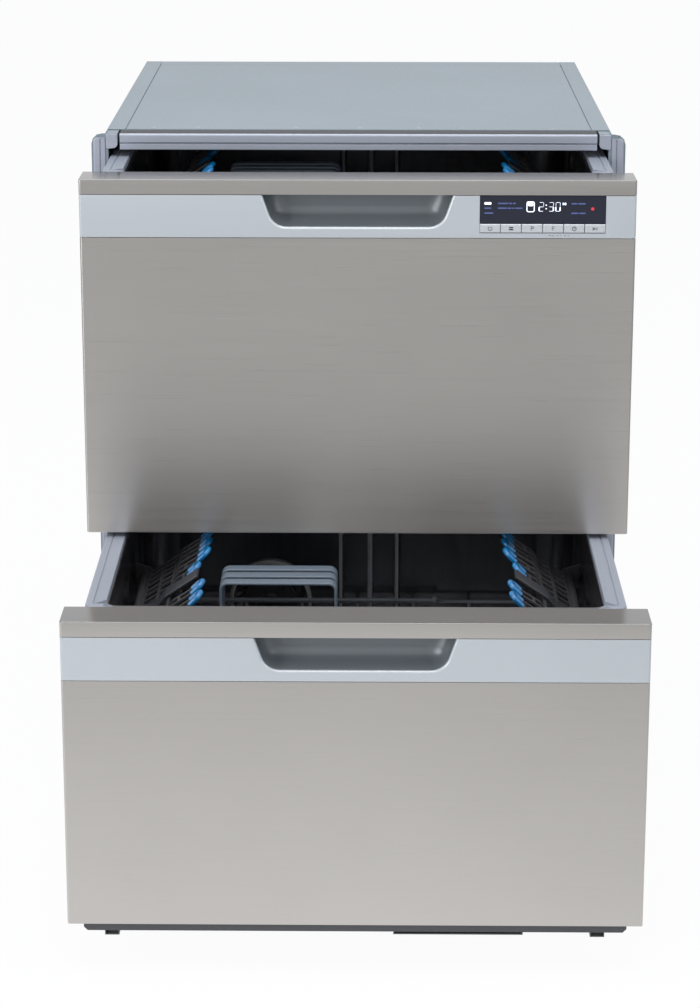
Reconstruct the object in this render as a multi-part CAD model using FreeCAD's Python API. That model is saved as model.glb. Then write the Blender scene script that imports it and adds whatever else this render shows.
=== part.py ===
import FreeCAD
import Part

import math
import os

# A built-under dishwasher with two drawers, one above the other, each a full wash tub on
# telescopic runners. The cabinet is folded sheet. A lid over each tub lowers on to its rim.
# Millimetres, +X to the right of someone who faces it, +Y to the rear, +Z up.
# Everything is drawn with Y = 0 on the cabinet's front flanges and Z = 0 on the floor,
# and is moved at the end so that the origin is under the middle of the whole object.
# The drawers stand partly open, as they rest.
# Small and repeated rounds are drawn with flat facets, which keeps the model light.

Vector = FreeCAD.Vector

# Cabinet
OVERALL_HEIGHT = 820.0
CABINET_WIDTH = 566.0
CABINET_DEPTH = 545.0
SHEET = 1.0
FLANGE_WIDTH = 598.0
OPENING_WIDTH = 560.0
FLANGE_STEP = 1.5
FLANGE_LIP = 10.0
OUTER_STRIP = 7.5
FLANGE_CORNER_RADIUS = 12.0
SIDE_BOTTOM = 18.0
TOP_FLANGE = 20.0
REAR_FLANGE = 15.0
BOTTOM_FLANGE = 18.0
SEAM = 0.5
JOGGLE_RELIEF = 0.3

# Rail across the top of the front, and its corner brackets
RAIL_TOP_DEPTH = 23.0
RAIL_HEIGHT = 16.0
RAIL_END_GAP = 16.0
RAIL_LIP = 12.0
BEAD_REACH = 1.5
BEAD_RADIUS = 3.0
BEAD_HEIGHT = 8.5
BRACKET_WIDTH = 10.5
BRACKET_DEPTH = 22.0
BRACKET_WALL = 1.6
BRACKET_RADIUS = 5.0
RAIL_GROOVE_HEIGHT = 1.0

# Rear panel, with swages pressed forward and a flange along the top
REAR_TOP_FLANGE = 29.0
SWAGE_DEPTH = 3.0
SWAGE_HEIGHT = 46.0
SWAGE_SLOPE = 6.0
SWAGE_LEVELS = (230.0, 430.0, 630.0)

# Base pan, rail between the two bays, and levelling feet
PAN_HEIGHT = 17.0
PAN_CORNER = 5.0
PAN_SHEET = 1.2
MIDDLE_RAIL_RISE = 28.0
MIDDLE_RAIL_HEIGHT = 16.0
MIDDLE_RAIL_DEPTH = 30.0
MIDDLE_RAIL_SETBACK = 3.0
FOOT_RADIUS = 19.0
FOOT_PAD = 5.0
FOOT_SIDES = 6
FOOT_STEM_RADIUS = 5.0
FOOT_NUT_RADIUS = 9.0
FOOT_NUT_HEIGHT = 5.0
FOOT_SPREAD = 480.0
FOOT_SETBACK = 35.0

# Drawers at rest
FRONT_WIDTH = 598.0
FRONT_THICKNESS = 44.0
TOP_REVEAL = 27.0
UPPER_FRONT_HEIGHT = 398.0
LOWER_FRONT_HEIGHT = 334.0
FRONT_GAP = 5.0
UPPER_OPENING = 91.0
LOWER_OPENING = 354.0
CLOSED_GAP = 2.0

# Drawer fronts: steel cap, moulded handle band, steel panel, inner liner
FRONT_SHEET = 1.2
FRONT_EDGE_RADIUS = 4.0
EDGE_FACETS = 3
CAP_HEIGHT = 16.5
CAP_EDGE_BEVEL = 1.2
BAND_HEIGHT = 47.0
BAND_WALL = 3.0
BAND_SIDE = 1.6
POCKET_TOP_WIDTH = 205.0
POCKET_BOTTOM_WIDTH = 166.0
POCKET_HEIGHT = 35.0
POCKET_CORNER_RADIUS = 18.0
POCKET_FACETS = 5
POCKET_DEPTH = 28.0
POCKET_WALL = 2.0
POCKET_RISE = 11.0
LINER_WALL = 2.5
LINER_RIB = 2.0
LINER_RIB_PLACES = (-180.0, 0.0, 180.0)
FIT = 0.3

# Control module in the upper band
MODULE_LEFT = 131.0
MODULE_RIGHT = 266.5
WINDOW_HEIGHT = 31.0
BUTTON_COUNT = 6
BUTTON_HEIGHT = 10.0
BUTTON_DEPTH = 7.0
BUTTON_CROWN = 0.5
BUTTON_BEVEL = 0.8
WINDOW_THICKNESS = 2.4
MODULE_LEDGE = 1.8
MODULE_LEDGE_DEPTH = 2.0
MODULE_FRAME_LAP = 0.5
BUTTON_NAMES = ("power", "half_load", "program", "function", "delay", "start")

# Rail under the lower front
KICK_WIDTH = 566.0
KICK_HEIGHT = 11.0
KICK_DEPTH = 28.0
KICK_SETBACK = 8.0
KICK_SHEET = 1.2
KICK_END_CORNER = 4.0
KICK_CHANNELS = ((-253.5, 15.0, 5.0), (252.5, 15.0, 5.0), (107.5, 135.0, 3.0))

# Wash tub and its moulded rim
TUB_WIDTH = 514.0
TUB_DRAFT = 8.0
TUB_FRONT = 22.0
TUB_REAR = 446.0
TUB_WALL = 1.2
TUB_CORNER_RADIUS = 42.0
TUB_FACETS = 4
TUB_FLOOR_BEVEL = 16.0
TUB_FLANGE = 12.0
RIM_WIDTH = 557.0
RIM_REAR = 464.0
RIM_THICKNESS = 6.8
RIM_SKIRT = 14.0
RIM_SKIRT_WALL = 2.0
RIM_CORNER_RADIUS = 10.0
RIM_GROOVE_INSET = 8.0
RIM_GROOVE_WIDTH = 1.4
RIM_GROOVE_DEPTH = 1.0
FLUTE_PLACES = (-20.0, 15.0, 47.0)
FLUTE_WIDTH = 9.0
FLUTE_CREST = 4.0
FLUTE_REACH = 1.5
FLUTE_TOP = -40.0
FLUTE_RISE = 30.0

# Sump in the tub floor, filter, spray arm
WELL_SIZE = 150.0
WELL_CORNER = 24.0
WELL_DEPTH = 14.0
SUMP_RADIUS = 46.0
SUMP_SIDES = 12
SUMP_DEPTH = 33.0
FILTER_PLATE = 3.0
FILTER_SKIRT_WALL = 2.0
FILTER_CUP_RADIUS = 40.0
FILTER_CUP_DEPTH = 28.0
FILTER_SLOT_COUNT = 8
FILTER_SLOT_WIDTH = 4.0
FILTER_SLOT_LENGTH = 18.0
FILTER_SLOT_CIRCLE = 56.0
SPINDLE_RADIUS = 9.0
SPINDLE_RISE = 31.0
ARM_LENGTH = 192.0
ARM_RISE = 13.0
ARM_ROOT_WIDTH = 50.0
ARM_TIP_WIDTH = 26.0
ARM_TIP_BEVEL = 9.0
ARM_THICKNESS = 15.0
ARM_TIP_THICKNESS = 7.0
ARM_EDGE_BEVEL = 2.6
ARM_HUB_RADIUS = 25.0
ARM_HUB_SIDES = 16
ARM_HUB_HEIGHT = 23.0
ARM_HUB_ROOF = 3.0
ARM_JETS = (60.0, 115.0, 165.0)
JET_LENGTH = 9.0
JET_WIDTH = 2.5
JET_DEPTH = 4.0
SPINDLE_CLEARANCE = 0.3

# Circulation pump under the sump
PUMP_RADIUS = 66.0
PUMP_SIDES = 12
PUMP_UNDER = 26.0
PUMP_HEADROOM = 30.6
PUMP_FOOTROOM = 21.8
MOTOR_RADIUS = 23.0
MOTOR_SIDES = 12
MOTOR_LENGTH = 150.0
MOTOR_CAP_RADIUS = 17.0
MOTOR_CAP_LENGTH = 10.0
DRAIN_PUMP_RADIUS = 18.0
DRAIN_PUMP_LENGTH = 110.0
SPIGOT_RADIUS = 9.5
SPIGOT_BORE = 7.5
SPIGOT_LENGTH = 26.0
SPIGOT_BORE_DEPTH = 20.0
SPIGOT_SIDES = 8

# Rack of welded wire
RACK_HALF_WIDTH = 200.0
RACK_FRONT = 46.0
RACK_REAR = 422.0
RACK_HEIGHT = 76.0
RACK_RISE = 49.0
WIRE_RADIUS = 2.0
WIRE_SIDES = 6
RACK_LONG_WIRES = 7
RACK_CROSS_WIRES = 6
TINE_RADIUS = 1.7
TINE_SIDES = 4
TINE_HEIGHT = 62.0
TINE_COUNT = 7
TINE_COUNTS = ((1, 3), (2, 3), (4, 7), (5, 7))
TINE_FIRST = 95.0
TINE_PITCH = 45.0

# Folding cup shelves
SHELF_HINGE_X = 240.0
SHELF_HINGE_Z = -68.0
SHELF_REACH = 88.0
SHELF_ANGLE = 33.0
SHELF_FRONT = 62.0
SHELF_REAR = 284.0
SHELF_WALL = 2.4
SHELF_PIN_RADIUS = 3.0
SHELF_BARREL_RADIUS = 5.0
SHELF_ROD_SIDES = 8
SHELF_FINGER = 15.0
SHELF_FINGER_GAP = 11.0
SHELF_FINGER_DEPTH = 34.0
SHELF_FINGER_CORNER = 5.0
SHELF_LAP = 4.0
SHELF_ARM_WIDTH = 26.0
SHELF_ARM_PLACE = 152.0
SHELF_ARM_CORNER = 7.0
SHELF_TIP_WIDTH = 4.0
SHELF_TIP_INSET = 2.0
SHELF_LIP = 7.0
SHELF_SLOT_PITCH = 52.0
SHELF_SLOT_WIDTH = 34.0
SHELF_SLOT_MARGIN = 11.0
HANGER_WALL = 2.5
HANGER_INSET = 12.0

# Cutlery basket with three strap handles
BASKET_LEFT = -148.5
BASKET_RIGHT = -21.0
BASKET_FRONT = 138.0
BASKET_REAR = 201.0
BASKET_TOP = -108.0
BASKET_WALL = 2.0
BASKET_CORNER = 7.0
BASKET_SLOTS = 6
BASKET_SLOT_WIDTH = 11.0
BASKET_SLOT_MARGIN = 14.0
STRAP_PLACES = (148.0, 169.5, 191.0)
STRAP_WIDTH = 14.0
STRAP_WALL = 3.0
STRAP_TOP = -25.0
STRAP_CORNER = 8.0

# Detergent dispenser on the tub's front wall, with a flap that falls open
DISPENSER_WIDTH = 150.0
DISPENSER_TOP = -24.0
DISPENSER_HEIGHT = 84.0
DISPENSER_DEPTH = 18.0
DISPENSER_CORNER = 8.0
CUP_LEFT = -62.0
CUP_RIGHT = 10.0
CUP_TOP = -34.0
CUP_BOTTOM = -92.0
CUP_DEPTH = 14.0
CUP_CORNER = 5.0
RINSE_CAP_PLACE = (44.0, -63.0)
RINSE_CAP_RADIUS = 17.0
RINSE_CAP_SIDES = 16
RINSE_CAP_HEIGHT = 4.0
RINSE_GRIP_WIDTH = 4.0
RINSE_GRIP_LENGTH = 24.0
RINSE_GRIP_HEIGHT = 3.0
FLAP_MARGIN = 5.0
FLAP_WALL = 2.4
FLAP_CORNER = 6.0
FLAP_PIN_RADIUS = 1.8
FLAP_PIN_SHORT = 0.5
FLAP_BARREL_RADIUS = 3.4
FLAP_ROD_SIDES = 8
FLAP_CLEARANCE = 0.4
FLAP_EAR = 5.0
FLAP_GASKET_WALL = 1.6
FLAP_LATCH_WIDTH = 24.0
FLAP_LATCH_HEIGHT = 9.0
FLAP_LATCH_REACH = 3.0

# Drying vent with swirl vanes on the tub's rear wall
VENT_X = -105.0
VENT_Z = -155.0
VENT_RADIUS = 50.0
VENT_BORE = 43.0
VENT_SIDES = 16
VENT_HUB = 11.0
VENT_HUB_RISE = 1.5
VENT_VANES = 8
VENT_VANE_WALL = 2.0
VENT_VANE_DEPTH = 3.0
VENT_VANE_SWEEP = 44.0
VENT_VANE_BOW = 6.0
VENT_FLANGE_DEPTH = 4.0
VENT_SPIGOT_LENGTH = 8.0
VENT_SPIGOT_WALL = 1.6

# Telescopic runners: cabinet, middle and drawer members
RUNNER_FRONT = 6.0
RUNNER_LENGTH = 460.0
RUNNER_DROP = 193.0
RUNNER_HEIGHT = 45.0
RUNNER_DEPTH = 11.5
RUNNER_SHEET = 1.4
RUNNER_LIP = 4.9
MIDDLE_HEIGHT = 33.6
MIDDLE_LIP = 3.4
MEMBER_SHEET = 1.2
MEMBER_GAP = 0.7
MIDDLE_INSET = 1.0
DRAWER_MEMBER_STAND = 0.3
DRAWER_MEMBER_HEIGHT = 25.2
DRAWER_MEMBER_FLANGE = 7.0
CARRIER_HEIGHT = 18.0
CARRIER_SHEET = 1.5
CARRIER_FRONT = 60.0
CARRIER_REAR = 410.0
CARRIER_INSET = 40.0

# Lids that hang in the cabinet over each tub, raised at rest
LID_TRAVEL = 9.0
LID_SEAL_GAP = 0.4
LID_SEAL_HEIGHT = 5.0
LID_SEAL_WIDTH = 6.0
LID_SEAL_INSET = 2.0
LID_SEAL_BEVEL = 1.5
LID_WIDTH = 538.0
LID_FRONT = 10.5
LID_REAR = 460.0
LID_HEIGHT = 10.0
LID_WALL = 1.6
LID_CORNER = 24.0
LID_RIB_COUNT = 4
LID_EAR_PLACES = (70.0, 400.0)
LID_EAR_WIDTH = 10.0
LID_EAR_HEIGHT = 6.0
LID_EAR_REACH = 10.5
GUIDE_WALL = 2.0
GUIDE_DEPTH = 10.0
GUIDE_BOTTOM = 3.0
GUIDE_TOP = 24.0

# Services at the rear
SERVICE_REACH = 18.0
INLET_X = -215.0
INLET_Z = 70.0
INLET_RADIUS = 13.2
INLET_BORE = 9.0
INLET_COLLAR = 19.0
INLET_BODY = 14.0
COLLAR_SIDES = 6
SOLENOID_RADIUS = 11.0
SOLENOID_HEIGHT = 46.0
SOLENOID_SETBACK = 13.0
SOLENOID_SIDES = 8
INLET_FOOT_WIDTH = 16.0
INLET_FOOT_DEPTH = 12.0
INLET_BORE_DEPTH = 22.0
DRAIN_X = -150.0
DRAIN_Z = 70.0
DRAIN_COLLAR = 16.0
DRAIN_BODY = 10.0
DRAIN_BORE_DEPTH = 25.0
GLAND_X = 205.0
GLAND_Z = 64.0
GLAND_RADIUS = 10.0
GLAND_SIDES = 8
GLAND_BORE = 4.0
GLAND_FLANGE = 15.0
GLAND_BODY = 6.0
GLAND_REACH = 10.0
HOLE_CLEARANCE = 0.3
SERVICE_HOLE_SIDES = 8
NECK_STEP = 0.8

# Places that follow from the sizes above
HALF_CABINET = CABINET_WIDTH / 2
HALF_FRONT = FRONT_WIDTH / 2
UPPER_RIM = OVERALL_HEIGHT - TOP_REVEAL
LOWER_RIM = UPPER_RIM - UPPER_FRONT_HEIGHT - FRONT_GAP
BAND_TOP = -CAP_HEIGHT
BAND_BOTTOM = -CAP_HEIGHT - BAND_HEIGHT
PAN_FLOOR = SIDE_BOTTOM + SHEET
MIDDLE_RAIL_BOTTOM = LOWER_RIM + MIDDLE_RAIL_RISE
LID_STACK = LID_SEAL_GAP + LID_TRAVEL + LID_SEAL_HEIGHT + LID_HEIGHT
UPPER_BAY = UPPER_RIM - LOWER_RIM - LID_STACK - PUMP_HEADROOM
LOWER_BAY = LOWER_RIM - PAN_FLOOR - PAN_SHEET - PUMP_FOOTROOM
PUMP_BOTTOM = -min(UPPER_BAY, LOWER_BAY)
TUB_DEPTH = -PUMP_BOTTOM - PUMP_UNDER - SUMP_DEPTH - WELL_DEPTH
ARM_BOTTOM = ARM_RISE - TUB_DEPTH
SPINDLE_TOP = SPINDLE_RISE - TUB_DEPTH
FLUTE_BOTTOM = FLUTE_RISE - TUB_DEPTH
RACK_FLOOR = RACK_RISE - TUB_DEPTH
RACK_TOP = RACK_FLOOR + RACK_HEIGHT
SUMP_CENTRE = (TUB_FRONT + TUB_REAR) / 2
WELL_BOTTOM = -TUB_DEPTH - WELL_DEPTH
SUMP_BOTTOM = WELL_BOTTOM - SUMP_DEPTH
FRONT_REACH = LOWER_OPENING + FRONT_THICKNESS
REAR_REACH = CABINET_DEPTH + SERVICE_REACH
CENTRE_SHIFT = (FRONT_REACH - REAR_REACH) / 2
FLAP_PIN_Y = TUB_FRONT + DISPENSER_DEPTH + FLAP_BARREL_RADIUS + FLAP_CLEARANCE
FLAP_PIN_Z = CUP_BOTTOM - FLAP_MARGIN


# Drawing helpers

def on_plane(axis, u, v, level):
    """Point whose level is measured along one axis and u, v along the other two, in order."""
    if axis == "x":
        return Vector(level, u, v)
    if axis == "y":
        return Vector(u, level, v)
    return Vector(u, v, level)


def along(axis, length):
    """Vector of one length along one axis."""
    return on_plane(axis, 0, 0, length)


def corner_points(corners, facets):
    """Plan points of corners (u, v) or (u, v, radius), with a radius as a few chords."""
    points = []
    for index, corner in enumerate(corners):
        here = Vector(corner[0], corner[1], 0)
        radius = corner[2] if len(corner) > 2 else 0
        if radius == 0:
            points.append(here)
            continue
        before = corners[index - 1]
        after = corners[(index + 1) % len(corners)]
        back = (Vector(before[0], before[1], 0) - here).normalize()
        ahead = (Vector(after[0], after[1], 0) - here).normalize()
        half = back.getAngle(ahead) / 2
        centre = here + (back + ahead).normalize() * (radius / math.sin(half))
        spoke = here + back * (radius / math.tan(half)) - centre
        turn = (math.pi - 2 * half) * (1 if back.cross(ahead).z < 0 else -1)
        for step in range(facets + 1):
            angle = turn * step / facets
            points.append(centre + Vector(
                spoke.x * math.cos(angle) - spoke.y * math.sin(angle),
                spoke.x * math.sin(angle) + spoke.y * math.cos(angle),
                0,
            ))
    return points


def outline(axis, corners, level, facets):
    """Closed wire through corners (u, v) or (u, v, radius), with a radius as a few chords."""
    points = [on_plane(axis, p.x, p.y, level) for p in corner_points(corners, facets)]
    return Part.makePolygon(points + points[:1])


def extrude(axis, corners, start, stop, facets=1):
    """Solid with one section along an axis, from start to stop."""
    face = Part.Face(outline(axis, corners, start, facets))
    return face.extrude(along(axis, stop - start))


def frustum(low_corners, low, high_corners, high, facets):
    """Solid between two level outlines with the same count of corners, one over the other."""
    low_ring = [on_plane("z", p.x, p.y, low) for p in corner_points(low_corners, facets)]
    high_ring = [on_plane("z", p.x, p.y, high) for p in corner_points(high_corners, facets)]
    return solid_between(low_ring, high_ring)


def solid_between(near, far):
    """Solid with flat sides between two rings of points, side by side."""
    faces = [Part.Face(Part.makePolygon(ring + ring[:1])) for ring in (near, far)]
    for side in range(len(near)):
        after = (side + 1) % len(near)
        loop = [near[side], near[after], far[after], far[side], near[side]]
        faces.append(Part.Face(Part.makePolygon(loop)))
    shell = Part.Shell(faces)
    shell.sewShape()
    solid = Part.Solid(shell)
    return solid if solid.Volume > 0 else solid.reversed()


def rectangle(u0, u1, v0, v1, radius=0):
    """Corners of a rectangle, all with one radius."""
    return [(u0, v0, radius), (u1, v0, radius), (u1, v1, radius), (u0, v1, radius)]


def block(x0, x1, y0, y1, z0, z1):
    """Box between two corners."""
    return Part.makeBox(x1 - x0, y1 - y0, z1 - z0, Vector(x0, y0, z0))


def rod(centre, axis, radius, length):
    """Cylinder from a centre point along one axis."""
    return Part.makeCylinder(radius, length, centre, along(axis, 1))


def prism(centre, axis, radius, length, sides):
    """Rod with flat sides from a centre point along one axis, measured to its corners."""
    level = {"x": centre.x, "y": centre.y, "z": centre.z}[axis]
    u, v = {"x": (centre.y, centre.z), "y": (centre.x, centre.z), "z": (centre.x, centre.y)}[axis]
    corners = []
    for side in range(sides):
        turn = 2 * math.pi * (side + 0.5) / sides
        corners.append((u + radius * math.cos(turn), v + radius * math.sin(turn)))
    return extrude(axis, corners, level, level + length)


def folded(path, thickness):
    """Corners of a folded strip of sheet that lies to the left of a path of (u, v) folds."""
    points = [Vector(u, v, 0) for u, v in path]
    normals = []
    for start, stop in zip(points, points[1:]):
        run = (stop - start).normalize()
        normals.append(Vector(-run.y, run.x, 0))
    near = [(points[0].x, points[0].y, 0)]
    far = [points[0] + normals[0] * thickness]
    far = [(far[0].x, far[0].y, 0)]
    for index in range(1, len(points) - 1):
        first = normals[index - 1]
        second = normals[index]
        offset = points[index] + (first + second) * (thickness / (1 + first.dot(second)))
        near.append((points[index].x, points[index].y, 0))
        far.append((offset.x, offset.y, 0))
    last = points[-1] + normals[-1] * thickness
    near.append((points[-1].x, points[-1].y, 0))
    far.append((last.x, last.y, 0))
    return near + far[::-1]


def joined(shapes):
    """One solid from pieces that touch or overlap."""
    shapes = list(shapes)
    return shapes[0].multiFuse(shapes[1:]).removeSplitter()


def mirrored(shape):
    """The same shape on the other side of the middle plane."""
    return shape.mirror(Vector(0, 0, 0), Vector(1, 0, 0))


def both_sides(shape):
    """A shape and its mirror image as separate solids of one piece."""
    return Part.makeCompound([shape, mirrored(shape)])


def bevelled(shape, size, picks):
    """Shape with a bevel on every edge whose bounding box is picked."""
    edges = [e for e in shape.Edges if picks(e.BoundBox)]
    return shape.makeChamfer(size, edges)


# Cabinet

def side_panel_right():
    """Side wall with flanges folded in at top, bottom and rear, and the stepped front flange."""
    wall_path = [
        (HALF_CABINET - BOTTOM_FLANGE, SIDE_BOTTOM),
        (HALF_CABINET, SIDE_BOTTOM),
        (HALF_CABINET, OVERALL_HEIGHT),
        (HALF_CABINET - TOP_FLANGE, OVERALL_HEIGHT),
    ]
    wall = extrude("y", folded(wall_path, SHEET), 0, CABINET_DEPTH)
    notch = block(
        HALF_CABINET - TOP_FLANGE - 1, HALF_CABINET - SHEET,
        -1, RAIL_TOP_DEPTH, OVERALL_HEIGHT - RAIL_HEIGHT, OVERALL_HEIGHT + 1,
    )
    wall = wall.cut(notch)
    rear_flange = block(
        HALF_CABINET - REAR_FLANGE, HALF_CABINET - SHEET / 2,
        CABINET_DEPTH - SHEET, CABINET_DEPTH, SIDE_BOTTOM, OVERALL_HEIGHT - SHEET / 2,
    )
    half_flange = FLANGE_WIDTH / 2
    step_x = half_flange - OUTER_STRIP
    flange_path = [
        (half_flange, FLANGE_STEP + FLANGE_LIP),
        (half_flange, FLANGE_STEP),
        (step_x, FLANGE_STEP),
        (step_x - FLANGE_STEP, 0),
        (OPENING_WIDTH / 2, 0),
    ]
    flange_top = OVERALL_HEIGHT - SHEET
    reversed_path = flange_path[::-1]
    flange = extrude("z", folded(reversed_path, SHEET), SIDE_BOTTOM, flange_top)
    face_outline = [
        (0, SIDE_BOTTOM), (half_flange, SIDE_BOTTOM),
        (half_flange, flange_top, FLANGE_CORNER_RADIUS), (0, flange_top),
    ]
    envelope = extrude("y", face_outline, -1, FLANGE_STEP + FLANGE_LIP + 1, EDGE_FACETS)
    flange = flange.common(envelope)
    bracket_right = HALF_CABINET - SHEET / 2
    bracket_left = OPENING_WIDTH / 2 - BRACKET_WIDTH
    bracket_outline = [
        (bracket_left, OVERALL_HEIGHT - SHEET),
        (bracket_left, OVERALL_HEIGHT - RAIL_HEIGHT, BRACKET_RADIUS),
        (bracket_right, OVERALL_HEIGHT - RAIL_HEIGHT),
        (bracket_right, OVERALL_HEIGHT - SHEET),
    ]
    bracket = extrude("y", bracket_outline, 0, BRACKET_DEPTH, EDGE_FACETS)
    hollow = block(
        bracket_left + BRACKET_WALL, HALF_CABINET - SHEET, BRACKET_WALL, BRACKET_DEPTH + 1,
        OVERALL_HEIGHT - RAIL_HEIGHT + BRACKET_WALL, OVERALL_HEIGHT - SHEET - BRACKET_WALL,
    )
    pieces = [wall, rear_flange, flange, bracket.cut(hollow)]
    for rim in (UPPER_RIM, LOWER_RIM):
        for place in LID_EAR_PLACES:
            pieces += lid_guide(rim, place)
    return joined(pieces)


def lid_guide(rim, place):
    """Two ribs on the side wall that a lid's ear slides between."""
    ribs = []
    inner = HALF_CABINET - GUIDE_DEPTH
    reach = LID_EAR_WIDTH / 2 + FIT
    for low in (place - reach - GUIDE_WALL, place + reach):
        rib = [
            (inner, rim + GUIDE_BOTTOM),
            (HALF_CABINET - SHEET / 2, rim + GUIDE_BOTTOM),
            (HALF_CABINET - SHEET / 2, rim + GUIDE_TOP),
            (inner, rim + GUIDE_TOP, GUIDE_WALL),
        ]
        ribs.append(extrude("y", rib, low, low + GUIDE_WALL))
    return ribs


def top_panel():
    """Roof sheet, joggled down at both sides to lie under the side panels' flanges."""
    seam = HALF_CABINET - TOP_FLANGE - SEAM
    under = OVERALL_HEIGHT - SHEET
    path = [
        (HALF_CABINET - TOP_FLANGE + RAIL_LIP, under),
        (seam + JOGGLE_RELIEF, under),
        (seam - SHEET, OVERALL_HEIGHT),
        (SHEET - seam, OVERALL_HEIGHT),
        (-seam - JOGGLE_RELIEF, under),
        (TOP_FLANGE - RAIL_LIP - HALF_CABINET, under),
    ]
    rear = CABINET_DEPTH - REAR_TOP_FLANGE - SEAM
    return extrude("y", folded(path, SHEET), RAIL_TOP_DEPTH + SEAM, rear)


def top_front_rail():
    """Rolled rail with a rounded bead, a groove and a lower lip, tucked under the roof."""
    top = OVERALL_HEIGHT
    bead_bottom = top - BEAD_HEIGHT
    bottom = top - RAIL_HEIGHT
    path = [
        (RAIL_TOP_DEPTH + SEAM + RAIL_LIP, top - SHEET),
        (RAIL_TOP_DEPTH, top - SHEET),
        (RAIL_TOP_DEPTH - 2 * SHEET, top),
        (-BEAD_REACH, top),
        (-BEAD_REACH, bead_bottom),
        (BEAD_REACH / 2, bead_bottom - RAIL_GROOVE_HEIGHT),
        (-SHEET / 2, bead_bottom - 2 * RAIL_GROOVE_HEIGHT),
        (-SHEET / 2, bottom),
        (FLANGE_LIP - SHEET, bottom),
    ]
    section = folded(path, SHEET)
    bead = BEAD_RADIUS
    section[3] = (section[3][0], section[3][1], bead)
    section[-4] = (section[-4][0], section[-4][1], bead - SHEET)
    half = HALF_CABINET - RAIL_END_GAP
    rail = extrude("x", section, -half, half, EDGE_FACETS)
    lip_end = block(
        HALF_CABINET - TOP_FLANGE - 3 * SHEET, half + 1, RAIL_TOP_DEPTH,
        RAIL_TOP_DEPTH + 2 * RAIL_LIP, top - 2 * SHEET - 1, top,
    )
    return rail.cut(lip_end).cut(mirrored(lip_end))


def neck_radius(radius):
    """Corner radius of the flat-sided neck that keeps a nozzle from turning in the panel."""
    return (radius + NECK_STEP) / math.cos(math.pi / SERVICE_HOLE_SIDES)


def rear_panel():
    """Rear wall of one folded sheet, with pressed swages and holes for the services."""
    inner = CABINET_DEPTH - SHEET
    path = [(inner, PAN_FLOOR)]
    for level in SWAGE_LEVELS:
        path += [
            (inner, level - SWAGE_HEIGHT / 2 - SWAGE_SLOPE),
            (inner - SWAGE_DEPTH, level - SWAGE_HEIGHT / 2),
            (inner - SWAGE_DEPTH, level + SWAGE_HEIGHT / 2),
            (inner, level + SWAGE_HEIGHT / 2 + SWAGE_SLOPE),
        ]
    path += [(inner, OVERALL_HEIGHT), (CABINET_DEPTH - REAR_TOP_FLANGE, OVERALL_HEIGHT)]
    half = HALF_CABINET - TOP_FLANGE - SEAM
    panel = extrude("x", folded(path, SHEET), -half, half)
    wing = HALF_CABINET - SHEET - SEAM
    side_strip = block(
        half - SEAM, wing, inner - SHEET, inner, PAN_FLOOR, OVERALL_HEIGHT - 3 * SHEET,
    )
    for level in SWAGE_LEVELS:
        relief = SWAGE_HEIGHT / 2 + 2 * SWAGE_SLOPE
        side_strip = side_strip.cut(block(
            half - 1, half, inner - SHEET - 1, inner + 1, level - relief, level + relief,
        ))
    panel = joined([panel, side_strip, mirrored(side_strip)])
    for x, z, radius in (
        (INLET_X, INLET_Z, INLET_RADIUS),
        (DRAIN_X, DRAIN_Z, SPIGOT_RADIUS),
        (GLAND_X, GLAND_Z, GLAND_RADIUS - NECK_STEP),
    ):
        reach = neck_radius(radius) + HOLE_CLEARANCE / math.cos(math.pi / SERVICE_HOLE_SIDES)
        hole = prism(Vector(x, 0, z), "y", reach, REAR_REACH, SERVICE_HOLE_SIDES)
        panel = panel.cut(hole)
    return panel


def base_pan():
    """Drip tray that closes the bottom, standing on the side panels' lower flanges."""
    half = HALF_CABINET - SHEET - SEAM
    rear = CABINET_DEPTH - 2 * SHEET
    top = PAN_FLOOR + PAN_HEIGHT
    outer = rectangle(-half, half, SHEET, rear, PAN_CORNER)
    hollow = rectangle(
        PAN_SHEET - half, half - PAN_SHEET, SHEET + PAN_SHEET, rear - PAN_SHEET,
        PAN_CORNER - PAN_SHEET,
    )
    shell = extrude("z", outer, PAN_FLOOR, top)
    return shell.cut(extrude("z", hollow, PAN_FLOOR + PAN_SHEET, top + 1))


def middle_rail():
    """Channel across the cabinet between the two drawer bays."""
    rear = MIDDLE_RAIL_SETBACK + MIDDLE_RAIL_DEPTH
    top = MIDDLE_RAIL_BOTTOM + MIDDLE_RAIL_HEIGHT
    path = [
        (rear, top),
        (MIDDLE_RAIL_SETBACK, top),
        (MIDDLE_RAIL_SETBACK, MIDDLE_RAIL_BOTTOM),
        (rear, MIDDLE_RAIL_BOTTOM),
    ]
    half = HALF_CABINET - SHEET
    return extrude("x", folded(path, PAN_SHEET), -half, half)


def levelling_feet():
    """Four feet, each a pad on a stem, with a lock nut under the base."""
    feet = []
    for x in (-FOOT_SPREAD / 2, FOOT_SPREAD / 2):
        for y in (FOOT_SETBACK, CABINET_DEPTH - FOOT_SETBACK):
            foot = Vector(x, y, 0)
            pad = prism(foot, "z", FOOT_RADIUS, FOOT_PAD, FOOT_SIDES)
            stem = prism(foot, "z", FOOT_STEM_RADIUS, PAN_FLOOR, FOOT_SIDES)
            nut_start = foot + Vector(0, 0, PAN_FLOOR - FOOT_NUT_HEIGHT)
            nut = prism(nut_start, "z", FOOT_NUT_RADIUS, FOOT_NUT_HEIGHT, FOOT_SIDES)
            feet.append(joined([pad, stem, nut]))
    return Part.makeCompound(feet)


# Telescopic runners

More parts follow.
